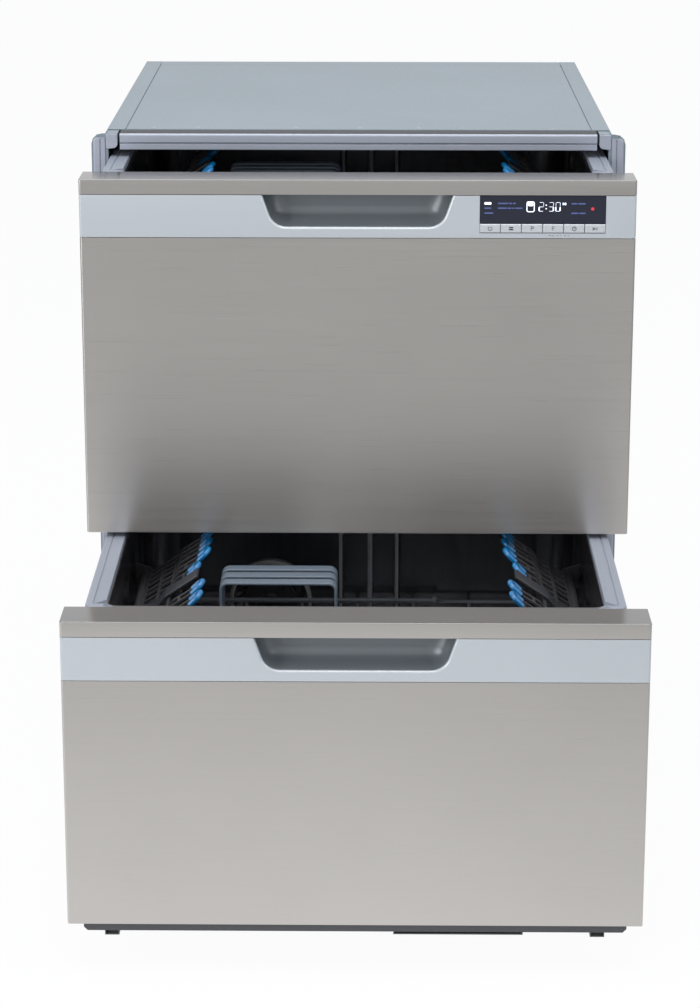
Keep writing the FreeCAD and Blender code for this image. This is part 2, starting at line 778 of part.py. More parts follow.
def cabinet_member(rim):
    """Outer channel of one runner on the right side wall."""
    level = rim - RUNNER_DROP
    back = HALF_CABINET - SHEET
    mouth = back - RUNNER_DEPTH
    half = RUNNER_HEIGHT / 2
    path = [
        (mouth, level - half + RUNNER_LIP),
        (mouth, level - half),
        (back, level - half),
        (back, level + half),
        (mouth, level + half),
        (mouth, level + half - RUNNER_LIP),
    ]
    return extrude("y", folded(path, RUNNER_SHEET), RUNNER_FRONT, RUNNER_FRONT + RUNNER_LENGTH)


def cabinet_runners():
    """The four channels that stay on the cabinet's side walls."""
    members = [cabinet_member(UPPER_RIM), cabinet_member(LOWER_RIM)]
    return Part.makeCompound(members + [mirrored(m) for m in members])


def runner_middle(rim, opening):
    """Pair of intermediate channels, half way between cabinet and drawer."""
    level = rim - RUNNER_DROP
    back = HALF_CABINET - SHEET - RUNNER_SHEET - MEMBER_GAP
    mouth = HALF_CABINET - SHEET - RUNNER_DEPTH + MIDDLE_INSET
    half = MIDDLE_HEIGHT / 2
    path = [
        (mouth, level - half + MIDDLE_LIP),
        (mouth, level - half),
        (back, level - half),
        (back, level + half),
        (mouth, level + half),
        (mouth, level + half - MIDDLE_LIP),
    ]
    front = RUNNER_FRONT - (opening - CLOSED_GAP) / 2
    return both_sides(extrude("y", folded(path, MEMBER_SHEET), front, front + RUNNER_LENGTH))


def runner_inner():
    """Pair of drawer members, each with the channel that bolts it to the tub wall."""
    web = HALF_CABINET - SHEET - RUNNER_DEPTH - DRAWER_MEMBER_STAND
    half = DRAWER_MEMBER_HEIGHT / 2
    path = [
        (web + DRAWER_MEMBER_FLANGE, half - RUNNER_DROP),
        (web, half - RUNNER_DROP),
        (web, -half - RUNNER_DROP),
        (web + DRAWER_MEMBER_FLANGE, -half - RUNNER_DROP),
    ]
    front = RUNNER_FRONT + CLOSED_GAP
    member = extrude("y", folded(path, MEMBER_SHEET), front, front + RUNNER_LENGTH)
    carrier_half = CARRIER_HEIGHT / 2
    carrier_path = [
        (web - CARRIER_INSET, -carrier_half - RUNNER_DROP),
        (web, -carrier_half - RUNNER_DROP),
        (web, carrier_half - RUNNER_DROP),
        (web - CARRIER_INSET, carrier_half - RUNNER_DROP),
    ]
    carrier = extrude("y", folded(carrier_path, CARRIER_SHEET), CARRIER_FRONT, CARRIER_REAR)
    carrier = carrier.cut(tub_body(TUB_WALL))
    return both_sides(joined([member, carrier]))


# Wash tub

def tub_section(inset, grow):
    """Corners of the tub's plan, drawn in by an inset and grown outwards by a wall."""
    half = TUB_WIDTH / 2 + grow - inset
    return rectangle(
        -half, half, TUB_FRONT - grow + inset, TUB_REAR + grow - inset,
        TUB_CORNER_RADIUS + grow - inset,
    )


def tub_body(grow):
    """Solid body of the tub's hollow, its well and its sump, grown outwards by a wall."""
    floor = -TUB_DEPTH - grow
    bevel = TUB_FLOOR_BEVEL
    wall_inset = TUB_DRAFT * (TUB_DEPTH - bevel) / TUB_DEPTH
    wall_foot = tub_section(wall_inset, grow)
    walls = frustum(wall_foot, floor + bevel, tub_section(0, grow), 0, TUB_FACETS)
    floor_plan = tub_section(wall_inset + bevel, grow)
    floor_edge = frustum(floor_plan, floor, wall_foot, floor + bevel, TUB_FACETS)
    half = WELL_SIZE / 2 + grow
    plan = rectangle(
        -half, half, SUMP_CENTRE - half, SUMP_CENTRE + half, WELL_CORNER + grow,
    )
    well = extrude("z", plan, WELL_BOTTOM - grow, floor + 1)
    sump_start = Vector(0, SUMP_CENTRE, SUMP_BOTTOM - grow)
    sump = prism(sump_start, "z", SUMP_RADIUS + grow, SUMP_DEPTH + 1, SUMP_SIDES)
    return joined([walls, floor_edge, well, sump])


def tub():
    """Deep drawn steel tub with an outward flange, a vent hole and pressed flutes."""
    flange_level = -RIM_THICKNESS
    flange = extrude(
        "z",
        rectangle(
            -TUB_WIDTH / 2 - TUB_FLANGE, TUB_WIDTH / 2 + TUB_FLANGE,
            TUB_FRONT - TUB_FLANGE, TUB_REAR + TUB_FLANGE, TUB_CORNER_RADIUS,
        ),
        flange_level - TUB_WALL,
        flange_level,
    )
    above = block(-HALF_FRONT, HALF_FRONT, -10, RIM_REAR + 10, flange_level, 10)
    body = joined([tub_body(TUB_WALL).cut(above), flange])
    body = body.cut(tub_body(0))
    flutes = []
    for x in FLUTE_PLACES:
        rear = TUB_REAR + TUB_WALL / 2
        crest = TUB_REAR - TUB_DRAFT - FLUTE_REACH
        flute = [
            (x - FLUTE_WIDTH / 2, rear), (x + FLUTE_WIDTH / 2, rear),
            (x + FLUTE_CREST / 2, crest), (x - FLUTE_CREST / 2, crest),
        ]
        flutes.append(extrude("z", flute, FLUTE_BOTTOM, FLUTE_TOP))
    flutes = Part.makeCompound(flutes).common(tub_body(TUB_WALL / 2))
    hole_radius = VENT_BORE + VENT_SPIGOT_WALL + FIT
    hole_start = Vector(VENT_X, TUB_REAR - 2 * TUB_DRAFT, VENT_Z)
    hole = prism(hole_start, "y", hole_radius, 4 * TUB_DRAFT, VENT_SIDES)
    return joined([body] + flutes.Solids).cut(hole)


def tub_rim():
    """Moulded frame over the tub's flange, with a groove all round and an outer skirt."""
    half = RIM_WIDTH / 2
    outer = rectangle(-half, half, FIT, RIM_REAR, RIM_CORNER_RADIUS)
    body = extrude("z", outer, -RIM_THICKNESS, 0)
    mouth = extrude("z", tub_section(0, 0), -RIM_THICKNESS - 1, 1, TUB_FACETS)
    body = body.cut(mouth)
    wall = RIM_SKIRT_WALL
    skirt = extrude("z", outer, -RIM_SKIRT, -RIM_THICKNESS)
    skirt_hole = rectangle(
        wall - half, half - wall, FIT + wall, RIM_REAR - wall, RIM_CORNER_RADIUS - wall,
    )
    skirt = skirt.cut(extrude("z", skirt_hole, -RIM_SKIRT - 1, -RIM_THICKNESS + 1))
    groove_rings = []
    for inset in (RIM_GROOVE_INSET, RIM_GROOVE_INSET + RIM_GROOVE_WIDTH):
        groove_rings.append(rectangle(
            inset - half, half - inset, FIT + inset, RIM_REAR - inset, RIM_CORNER_RADIUS,
        ))
    groove = extrude("z", groove_rings[0], -RIM_GROOVE_DEPTH, 1)
    core = extrude("z", groove_rings[1], -RIM_GROOVE_DEPTH - 1, 2)
    return joined([body, skirt]).cut(groove.cut(core))


def filter_basket():
    """Filter plate with a skirt, a cup, drain slots and the spindle that carries the arm."""
    centre = Vector(0, SUMP_CENTRE, 0)
    top = -TUB_DEPTH
    half = WELL_SIZE / 2 - FIT
    wall = FILTER_SKIRT_WALL
    plan = rectangle(-half, half, SUMP_CENTRE - half, SUMP_CENTRE + half, WELL_CORNER)
    body = extrude("z", plan, WELL_BOTTOM, top)
    under = half - wall
    hollow_plan = rectangle(
        -under, under, SUMP_CENTRE - under, SUMP_CENTRE + under, WELL_CORNER - wall,
    )
    hollow = extrude("z", hollow_plan, WELL_BOTTOM - 1, top - FILTER_PLATE)
    cup_depth = FILTER_PLATE / 2 + FILTER_CUP_DEPTH
    cup_start = centre + Vector(0, 0, top - FILTER_PLATE / 2 - cup_depth)
    cup = prism(cup_start, "z", FILTER_CUP_RADIUS, cup_depth, SUMP_SIDES)
    spindle = rod(centre + Vector(0, 0, top - 1), "z", SPINDLE_RADIUS, SPINDLE_TOP - top + 1)
    body = joined([body.cut(hollow), cup, spindle])
    slots = []
    for index in range(FILTER_SLOT_COUNT):
        slot = block(
            FILTER_SLOT_CIRCLE - FILTER_SLOT_LENGTH / 2,
            FILTER_SLOT_CIRCLE + FILTER_SLOT_LENGTH / 2,
            -FILTER_SLOT_WIDTH / 2, FILTER_SLOT_WIDTH / 2,
            top - FILTER_PLATE - 1, top + 1,
        )
        turn = 360.0 * (index + 0.5) / FILTER_SLOT_COUNT
        slot = slot.rotated(Vector(0, 0, 0), Vector(0, 0, 1), turn)
        slots.append(slot.translated(centre))
    return body.cut(Part.makeCompound(slots))


def spray_arm():
    """Two-blade arm that tapers to its tips, with bevelled edges, a capped hub and slot jets."""
    root = ARM_ROOT_WIDTH / 2
    tip = ARM_TIP_WIDTH / 2
    plan = [
        (-ARM_LENGTH, -tip, ARM_TIP_BEVEL), (0, -root), (ARM_LENGTH, -tip, ARM_TIP_BEVEL),
        (ARM_LENGTH, tip, ARM_TIP_BEVEL), (0, root), (-ARM_LENGTH, tip, ARM_TIP_BEVEL),
    ]
    top = ARM_BOTTOM + ARM_THICKNESS
    blades = extrude("z", plan, ARM_BOTTOM, top)
    roof = top - (ARM_THICKNESS - ARM_TIP_THICKNESS)
    envelope = [
        (-ARM_LENGTH, ARM_BOTTOM), (ARM_LENGTH, ARM_BOTTOM), (ARM_LENGTH, roof),
        (ARM_HUB_RADIUS, top), (-ARM_HUB_RADIUS, top), (-ARM_LENGTH, roof),
    ]
    blades = blades.common(extrude("y", envelope, -root, root))
    blades = bevelled(
        blades, ARM_EDGE_BEVEL, lambda b: b.ZMin > roof - 1 and b.XLength > ARM_LENGTH / 4,
    )
    hub = prism(Vector(0, 0, ARM_BOTTOM), "z", ARM_HUB_RADIUS, ARM_HUB_HEIGHT, ARM_HUB_SIDES)
    body = joined([blades, hub])
    bore_height = ARM_HUB_HEIGHT - ARM_HUB_ROOF
    bore = rod(
        Vector(0, 0, ARM_BOTTOM - 1), "z", SPINDLE_RADIUS + SPINDLE_CLEARANCE, bore_height + 1,
    )
    body = body.cut(bore)
    for side in (-1, 1):
        for reach in ARM_JETS:
            low = side * reach - JET_WIDTH / 2
            jet = block(
                low, low + JET_WIDTH, -JET_LENGTH / 2, JET_LENGTH / 2,
                roof - JET_DEPTH / 2, top + 1,
            )
            body = body.cut(jet)
    return body.translated(Vector(0, SUMP_CENTRE, 0))


def pump():
    """Circulation pump round the sump, with its motor, drain pump and hose spigot."""
    centre = Vector(0, SUMP_CENTRE, PUMP_BOTTOM)
    height = WELL_BOTTOM - TUB_WALL - PUMP_BOTTOM
    casing = prism(centre, "z", PUMP_RADIUS, height, PUMP_SIDES)
    motor_start = centre + Vector(0, 0, MOTOR_RADIUS)
    motor = prism(motor_start, "x", MOTOR_RADIUS, MOTOR_LENGTH, MOTOR_SIDES)
    cap_start = motor_start + Vector(MOTOR_LENGTH, 0, 0)
    cap = prism(cap_start, "x", MOTOR_CAP_RADIUS, MOTOR_CAP_LENGTH, MOTOR_SIDES)
    drain_start = centre + Vector(0, 0, DRAIN_PUMP_RADIUS)
    drain = prism(drain_start, "y", DRAIN_PUMP_RADIUS, DRAIN_PUMP_LENGTH, MOTOR_SIDES)
    spigot_start = drain_start + Vector(0, DRAIN_PUMP_LENGTH, 0)
    spigot = prism(spigot_start, "y", SPIGOT_RADIUS, SPIGOT_LENGTH, SPIGOT_SIDES)
    bore_start = spigot_start + Vector(0, SPIGOT_LENGTH - SPIGOT_BORE_DEPTH, 0)
    bore = prism(bore_start, "y", SPIGOT_BORE, SPIGOT_BORE_DEPTH + 1, SPIGOT_SIDES)
    body = joined([casing, motor, cap, drain, spigot]).cut(bore)
    return body.cut(tub_body(TUB_WALL))


# Fittings inside the tub

def bent_bar(points, across, section, closed=False):
    """Straight lengths of a bar through points in one plane, mitred where it bends."""
    count = len(points)
    legs = count if closed else count - 1
    inward = []
    for index in range(legs):
        run = (points[(index + 1) % count] - points[index]).normalize()
        inward.append(across.cross(run))
    rings = []
    for index, point in enumerate(points):
        before = inward[index - 1] if index > 0 or closed else inward[0]
        after = inward[index] if index < legs else inward[-1]
        mitre = (before + after) * (1 / (1 + before.dot(after)))
        rings.append([point + across * wide + mitre * deep for wide, deep in section])
    return [solid_between(rings[index], rings[(index + 1) % count]) for index in range(legs)]


def wire_section(radius, sides):
    """Corners of a wire with flat sides, its first corner across its plane of bending."""
    turns = [2 * math.pi * side / sides for side in range(sides)]
    return [(radius * math.cos(turn), radius * math.sin(turn)) for turn in turns]


def rack():
    """Wire rack: bent long wires that stand as walls, cross wires, a top frame and tines."""
    flat = WIRE_RADIUS * math.cos(math.pi / WIRE_SIDES)
    wire = wire_section(WIRE_RADIUS, WIRE_SIDES)
    tine = wire_section(TINE_RADIUS, TINE_SIDES)
    sideways = Vector(1, 0, 0)
    backwards = Vector(0, 1, 0)
    spread = 2 * RACK_HALF_WIDTH / (RACK_LONG_WIRES - 1)
    places = [spread * index - RACK_HALF_WIDTH for index in range(RACK_LONG_WIRES)]
    wall_top = RACK_TOP - flat
    pieces = []
    for x in places:
        corners = [
            Vector(x, RACK_FRONT, wall_top),
            Vector(x, RACK_FRONT, RACK_FLOOR),
            Vector(x, RACK_REAR, RACK_FLOOR),
            Vector(x, RACK_REAR, wall_top),
        ]
        pieces += bent_bar(corners, sideways, wire)
    step = (RACK_REAR - RACK_FRONT) / (RACK_CROSS_WIRES + 1)
    reach = RACK_HALF_WIDTH + WIRE_RADIUS
    cross_level = RACK_FLOOR - 2 * flat
    for index in range(RACK_CROSS_WIRES):
        y = RACK_FRONT + step * (index + 1)
        pieces += bent_bar([Vector(-reach, y, cross_level), Vector(reach, y, cross_level)],
                           backwards, wire)
    frame = rectangle(-RACK_HALF_WIDTH, RACK_HALF_WIDTH, RACK_FRONT, RACK_REAR)
    frame_points = [Vector(x, y, RACK_TOP) for x, y, radius in frame]
    pieces += bent_bar(frame_points, Vector(0, 0, 1), [(deep, wide) for wide, deep in wire], True)
    for place, count in TINE_COUNTS:
        for index in range(TINE_COUNT - count, TINE_COUNT):
            foot = Vector(places[place], TINE_FIRST + TINE_PITCH * index, RACK_FLOOR + flat)
            pieces += bent_bar([foot, foot + Vector(0, 0, TINE_HEIGHT)], sideways, tine)
    for x in (places[0], places[-1]):
        for y in (RACK_FRONT + step / 2, RACK_REAR - step / 2):
            foot = Vector(x, y, -TUB_DEPTH)
            pieces += bent_bar([foot, Vector(x, y, RACK_FLOOR - flat)], sideways, wire)
    return Part.makeCompound(pieces)


def cup_shelf(side):
    """Folding shelf with soft-tipped fingers, a middle arm, slots and a hinge barrel."""
    # Drawn flat on the right side with the hinge at the origin, fingers towards -X
    length = SHELF_REAR - SHELF_FRONT
    root = SHELF_REACH - SHELF_FINGER_DEPTH
    half_wall = SHELF_WALL / 2
    pieces = [block(-root, 0, 0, length, -half_wall, half_wall)]
    arm_low = SHELF_ARM_PLACE - SHELF_FRONT - SHELF_ARM_WIDTH / 2
    arm_high = arm_low + SHELF_ARM_WIDTH
    pitch = SHELF_FINGER + SHELF_FINGER_GAP
    count = int((length + SHELF_FINGER_GAP) // pitch)
    start = (length - count * pitch + SHELF_FINGER_GAP) / 2
    for index in range(count):
        low = start + index * pitch
        high = low + SHELF_FINGER
        if low < arm_high + 1 and high > arm_low - 1:
            continue
        finger = [
            (-SHELF_REACH, low, SHELF_FINGER_CORNER), (SHELF_LAP - root, low),
            (SHELF_LAP - root, high), (-SHELF_REACH, high, SHELF_FINGER_CORNER),
        ]
        pieces.append(extrude("z", finger, -half_wall, half_wall))
        tip_start = SHELF_TIP_INSET - SHELF_REACH
        pieces.append(block(
            tip_start, tip_start + SHELF_TIP_WIDTH,
            low + SHELF_FINGER_CORNER / 2, high - SHELF_FINGER_CORNER / 2, 0, SHELF_LIP,
        ))
    arm = [
        (-SHELF_REACH, arm_low, SHELF_ARM_CORNER), (SHELF_LAP - root, arm_low),
        (SHELF_LAP - root, arm_high), (-SHELF_REACH, arm_high, SHELF_ARM_CORNER),
    ]
    pieces.append(extrude("z", arm, -half_wall, half_wall))
    hinge = Vector(0, 0, 0)
    pieces.append(prism(hinge, "y", SHELF_BARREL_RADIUS, length, SHELF_ROD_SIDES))
    body = joined(pieces)
    bore_radius = (SHELF_PIN_RADIUS + FIT) / math.cos(math.pi / SHELF_ROD_SIDES)
    bore = prism(Vector(0, -1, 0), "y", bore_radius, length + 2, SHELF_ROD_SIDES)
    slots = []
    slot_count = int((length - SHELF_SLOT_MARGIN) // SHELF_SLOT_PITCH)
    first = (length - (slot_count - 1) * SHELF_SLOT_PITCH) / 2
    for index in range(slot_count):
        low = first + index * SHELF_SLOT_PITCH - SHELF_SLOT_WIDTH / 2
        slots.append(block(
            SHELF_SLOT_MARGIN - root, -SHELF_SLOT_MARGIN, low, low + SHELF_SLOT_WIDTH,
            -SHELF_WALL, SHELF_WALL,
        ))
    body = body.cut(Part.makeCompound(slots + [bore]))
    body = body.rotated(hinge, Vector(0, 1, 0), SHELF_ANGLE)
    body = body.translated(Vector(SHELF_HINGE_X, SHELF_FRONT, SHELF_HINGE_Z))
    return body if side > 0 else mirrored(body)


def shelf_hanger():
    """Wall brackets and hinge pin of one cup shelf on the right wall, fixed to the tub."""
    pieces = []
    outer = TUB_WIDTH / 2 + TUB_WALL / 2
    inner = SHELF_HINGE_X - SHELF_BARREL_RADIUS
    for low in (SHELF_FRONT - HANGER_WALL - FIT, SHELF_REAR + FIT):
        plate = [
            (inner, SHELF_HINGE_Z - SHELF_BARREL_RADIUS),
            (outer, SHELF_HINGE_Z - HANGER_INSET),
            (outer, SHELF_HINGE_Z + HANGER_INSET),
            (inner, SHELF_HINGE_Z + SHELF_BARREL_RADIUS),
        ]
        pieces.append(extrude("y", plate, low, low + HANGER_WALL))
    start = Vector(SHELF_HINGE_X, SHELF_FRONT - FIT - HANGER_WALL / 2, SHELF_HINGE_Z)
    length = SHELF_REAR - SHELF_FRONT + 2 * FIT + HANGER_WALL
    pieces.append(prism(start, "y", SHELF_PIN_RADIUS, length, SHELF_ROD_SIDES))
    return joined(pieces).common(tub_body(TUB_WALL / 2))


def cutlery_basket():
    """Slotted basket with bevelled corners and three strap handles across it."""
    bottom = RACK_FLOOR + WIRE_RADIUS
    wall = BASKET_WALL
    outer = rectangle(BASKET_LEFT, BASKET_RIGHT, BASKET_FRONT, BASKET_REAR, BASKET_CORNER)
    inner = rectangle(
        BASKET_LEFT + wall, BASKET_RIGHT - wall, BASKET_FRONT + wall, BASKET_REAR - wall,
        BASKET_CORNER - wall / 2,
    )
    body = extrude("z", outer, bottom, BASKET_TOP)
    body = body.cut(extrude("z", inner, bottom + wall, BASKET_TOP + 1))
    pitch = (BASKET_RIGHT - BASKET_LEFT - BASKET_CORNER) / BASKET_SLOTS
    slots = []
    for index in range(BASKET_SLOTS):
        middle = BASKET_LEFT + BASKET_CORNER / 2 + pitch * (index + 0.5)
        slots.append(block(
            middle - BASKET_SLOT_WIDTH / 2, middle + BASKET_SLOT_WIDTH / 2,
            BASKET_FRONT - 1, BASKET_REAR + 1,
            bottom + BASKET_SLOT_MARGIN, BASKET_TOP - BASKET_SLOT_MARGIN,
        ))
    body = body.cut(Part.makeCompound(slots))
    left = BASKET_LEFT + STRAP_WALL / 2
    right = BASKET_RIGHT - STRAP_WALL / 2
    top = STRAP_TOP - STRAP_WALL / 2
    half_width = STRAP_WIDTH / 2
    half_wall = STRAP_WALL / 2
    section = [(wide, deep) for wide, deep, radius in
               rectangle(-half_width, half_width, -half_wall, half_wall)]
    pieces = [body]
    for middle in STRAP_PLACES:
        arch = [
            (left, BASKET_TOP), (left, top - STRAP_CORNER), (left + STRAP_CORNER, top),
            (right - STRAP_CORNER, top), (right, top - STRAP_CORNER), (right, BASKET_TOP),
        ]
        points = [Vector(x, middle, z) for x, z in arch]
        pieces += bent_bar(points, Vector(0, 1, 0), section)
    return Part.makeCompound(pieces)


def dispenser():
    """Detergent dispenser body with an open cup, a rinse aid cap and ears for the flap."""
    rear = TUB_FRONT + DISPENSER_DEPTH
    half = DISPENSER_WIDTH / 2
    bottom = DISPENSER_TOP - DISPENSER_HEIGHT
    plan = rectangle(-half, half, bottom, DISPENSER_TOP, DISPENSER_CORNER)
    body = extrude("y", plan, TUB_FRONT, rear).common(tub_body(0))
    cup = rectangle(CUP_LEFT, CUP_RIGHT, CUP_BOTTOM, CUP_TOP, CUP_CORNER)
    body = body.cut(extrude("y", cup, rear - CUP_DEPTH, rear + 1))
    cap_x, cap_z = RINSE_CAP_PLACE
    cap_top = rear + RINSE_CAP_HEIGHT
    cap_start = Vector(cap_x, rear - 1, cap_z)
    cap = prism(cap_start, "y", RINSE_CAP_RADIUS, RINSE_CAP_HEIGHT + 1, RINSE_CAP_SIDES)
    grip = block(
        cap_x - RINSE_GRIP_LENGTH / 2, cap_x + RINSE_GRIP_LENGTH / 2,
        cap_top - 1, cap_top + RINSE_GRIP_HEIGHT,
        cap_z - RINSE_GRIP_WIDTH / 2, cap_z + RINSE_GRIP_WIDTH / 2,
    )
    pieces = [body, cap, grip]
    for low in (CUP_LEFT - FLAP_MARGIN - FLAP_EAR - FLAP_CLEARANCE,
                CUP_RIGHT + FLAP_MARGIN + FLAP_CLEARANCE):
        ear = [
            (rear - 1, FLAP_PIN_Z - FLAP_BARREL_RADIUS),
            (FLAP_PIN_Y + FLAP_BARREL_RADIUS, FLAP_PIN_Z - FLAP_BARREL_RADIUS, FLAP_PIN_RADIUS),
            (FLAP_PIN_Y + FLAP_BARREL_RADIUS, FLAP_PIN_Z + FLAP_BARREL_RADIUS, FLAP_PIN_RADIUS),
            (rear - 1, FLAP_PIN_Z + FLAP_BARREL_RADIUS),
        ]
        pieces.append(extrude("x", ear, low, low + FLAP_EAR))
    bore = (FLAP_PIN_RADIUS + FIT) / math.cos(math.pi / FLAP_ROD_SIDES)
    hole_start = Vector(-half, FLAP_PIN_Y, FLAP_PIN_Z)
    return joined(pieces).cut(prism(hole_start, "x", bore, 2 * half, FLAP_ROD_SIDES))


def dispenser_lid():
    """Flap over the detergent cup, with its gasket, barrel, pins and latch in one piece."""
    rear = TUB_FRONT + DISPENSER_DEPTH
    left = CUP_LEFT - FLAP_MARGIN
    right = CUP_RIGHT + FLAP_MARGIN
    top = CUP_TOP + FLAP_MARGIN
    low = FLAP_PIN_Y - FLAP_WALL / 2
    outline_corners = [
        (left, FLAP_PIN_Z), (right, FLAP_PIN_Z), (right, top, FLAP_CORNER),
        (left, top, FLAP_CORNER),
    ]
    plate = extrude("y", outline_corners, low, low + FLAP_WALL)
    rim_bottom = FLAP_PIN_Z + FLAP_BARREL_RADIUS + FLAP_MARGIN
    gasket_rings = []
    for inset in (FLAP_CLEARANCE, FLAP_CLEARANCE + FLAP_GASKET_WALL):
        corners = rectangle(
            left + inset, right - inset, rim_bottom + inset, top - inset, FLAP_CORNER - inset,
        )
        reach = low + inset
        gasket_rings.append(extrude("y", corners, rear + FLAP_CLEARANCE, reach))
    gasket = gasket_rings[0].cut(gasket_rings[1])
    barrel_start = Vector(left, FLAP_PIN_Y, FLAP_PIN_Z)
    barrel = prism(barrel_start, "x", FLAP_BARREL_RADIUS, right - left, FLAP_ROD_SIDES)
    pin_reach = FLAP_EAR + FLAP_CLEARANCE - FLAP_PIN_SHORT
    pin_start = Vector(left - pin_reach, FLAP_PIN_Y, FLAP_PIN_Z)
    pin_length = right - left + 2 * pin_reach
    pin = prism(pin_start, "x", FLAP_PIN_RADIUS, pin_length, FLAP_ROD_SIDES)
    middle = (left + right) / 2
    face = low + FLAP_WALL
    latch_corners = [
        (face - FLAP_CLEARANCE, CUP_TOP - FLAP_LATCH_HEIGHT),
        (face + FLAP_LATCH_REACH, CUP_TOP - FLAP_LATCH_HEIGHT / 2),
        (face + FLAP_LATCH_REACH, CUP_TOP),
        (face - FLAP_CLEARANCE, CUP_TOP),
    ]
    latch = extrude(
        "x", latch_corners, middle - FLAP_LATCH_WIDTH / 2, middle + FLAP_LATCH_WIDTH / 2,
    )
    return joined([plate, gasket, barrel, pin, latch])


def vent_vane(turn, front):
    """One vane that sweeps in an arc from the hub to the ring, drawn about the origin."""
    reaches = (VENT_HUB - VENT_HUB_RISE, (VENT_HUB + VENT_BORE) / 2, VENT_BORE + VENT_HUB_RISE / 2)
    sweeps = (0, VENT_VANE_SWEEP / 2 + VENT_VANE_BOW, VENT_VANE_SWEEP)
    sides = []
    for sign in (-1, 1):
        spots = []
        for reach, sweep in zip(reaches, sweeps):
            angle = math.radians(turn + sweep) + sign * VENT_VANE_WALL / 2 / reach
            spots.append((reach * math.cos(angle), reach * math.sin(angle)))
        sides.append(spots)
    return extrude("y", sides[0] + sides[1][::-1], front, front + VENT_VANE_DEPTH)


def vent_grille():
    """Round drying vent: a bevelled ring, a spigot, a hub and swept vanes between them."""
    rear = TUB_REAR - TUB_DRAFT
    front = rear - VENT_FLANGE_DEPTH
    centre = Vector(0, 0, 0)
    ring_depth = TUB_REAR - front
    ring = prism(centre + Vector(0, front, 0), "y", VENT_RADIUS, ring_depth, VENT_SIDES)
    ring = bevelled(ring, VENT_HUB_RISE, lambda b: b.YMax < front + 0.01)
    back = Vector(VENT_X, 0, VENT_Z)
    ring = ring.common(tub_body(0).translated(-back))
    spigot_length = TUB_DRAFT + VENT_SPIGOT_LENGTH
    spigot_radius = VENT_BORE + VENT_SPIGOT_WALL
    spigot = prism(centre + Vector(0, rear - 1, 0), "y", spigot_radius, spigot_length, VENT_SIDES)
    bore = prism(centre, "y", VENT_BORE, 2 * TUB_REAR, VENT_SIDES)
    body = joined([ring, spigot]).cut(bore)
    hub_length = VENT_VANE_DEPTH + VENT_HUB_RISE
    hub = prism(centre + Vector(0, front, 0), "y", VENT_HUB, hub_length, VENT_SIDES // 2)
    vanes = [
        vent_vane(360.0 * index / VENT_VANES, front + VENT_HUB_RISE)
        for index in range(VENT_VANES)
    ]
    return joined([body, hub] + vanes).translated(back)


# Drawer fronts

def front_plan(inset, rear):
    """Corners of a drawer front's plan, inset from its outer face, with rounded front edges."""
    half = HALF_FRONT - inset
    radius = FRONT_EDGE_RADIUS - inset if inset < FRONT_EDGE_RADIUS else 0
    face = inset - FRONT_THICKNESS
    return [(-half, face, radius), (half, face, radius), (half, rear), (-half, rear)]


def front_cap():
    """Folded steel cap: the flat top of the front and the narrow strip over the handle."""
    body = extrude("z", front_plan(0, 0), -CAP_HEIGHT, 0, EDGE_FACETS)
    body = bevelled(body, CAP_EDGE_BEVEL, lambda b: b.ZMin > -0.01 and b.YMin < -1)
    hollow = extrude("z", front_plan(FRONT_SHEET, 1), -CAP_HEIGHT - 1, -FRONT_SHEET)
    return body.cut(hollow)


def pocket_corners(grow, top, bottom):
    """Outline of the handle pocket across the front, grown by a wall."""
    slope = (POCKET_TOP_WIDTH - POCKET_BOTTOM_WIDTH) / 2 / POCKET_HEIGHT
    band_half = POCKET_TOP_WIDTH / 2 + grow
    upper_half = band_half + slope * (top - BAND_TOP)
    lower_half = band_half + slope * (bottom - BAND_TOP)
    radius = POCKET_CORNER_RADIUS + grow
    return [
        (-lower_half, bottom, radius), (lower_half, bottom, radius),
        (upper_half, top), (-upper_half, top),
    ]


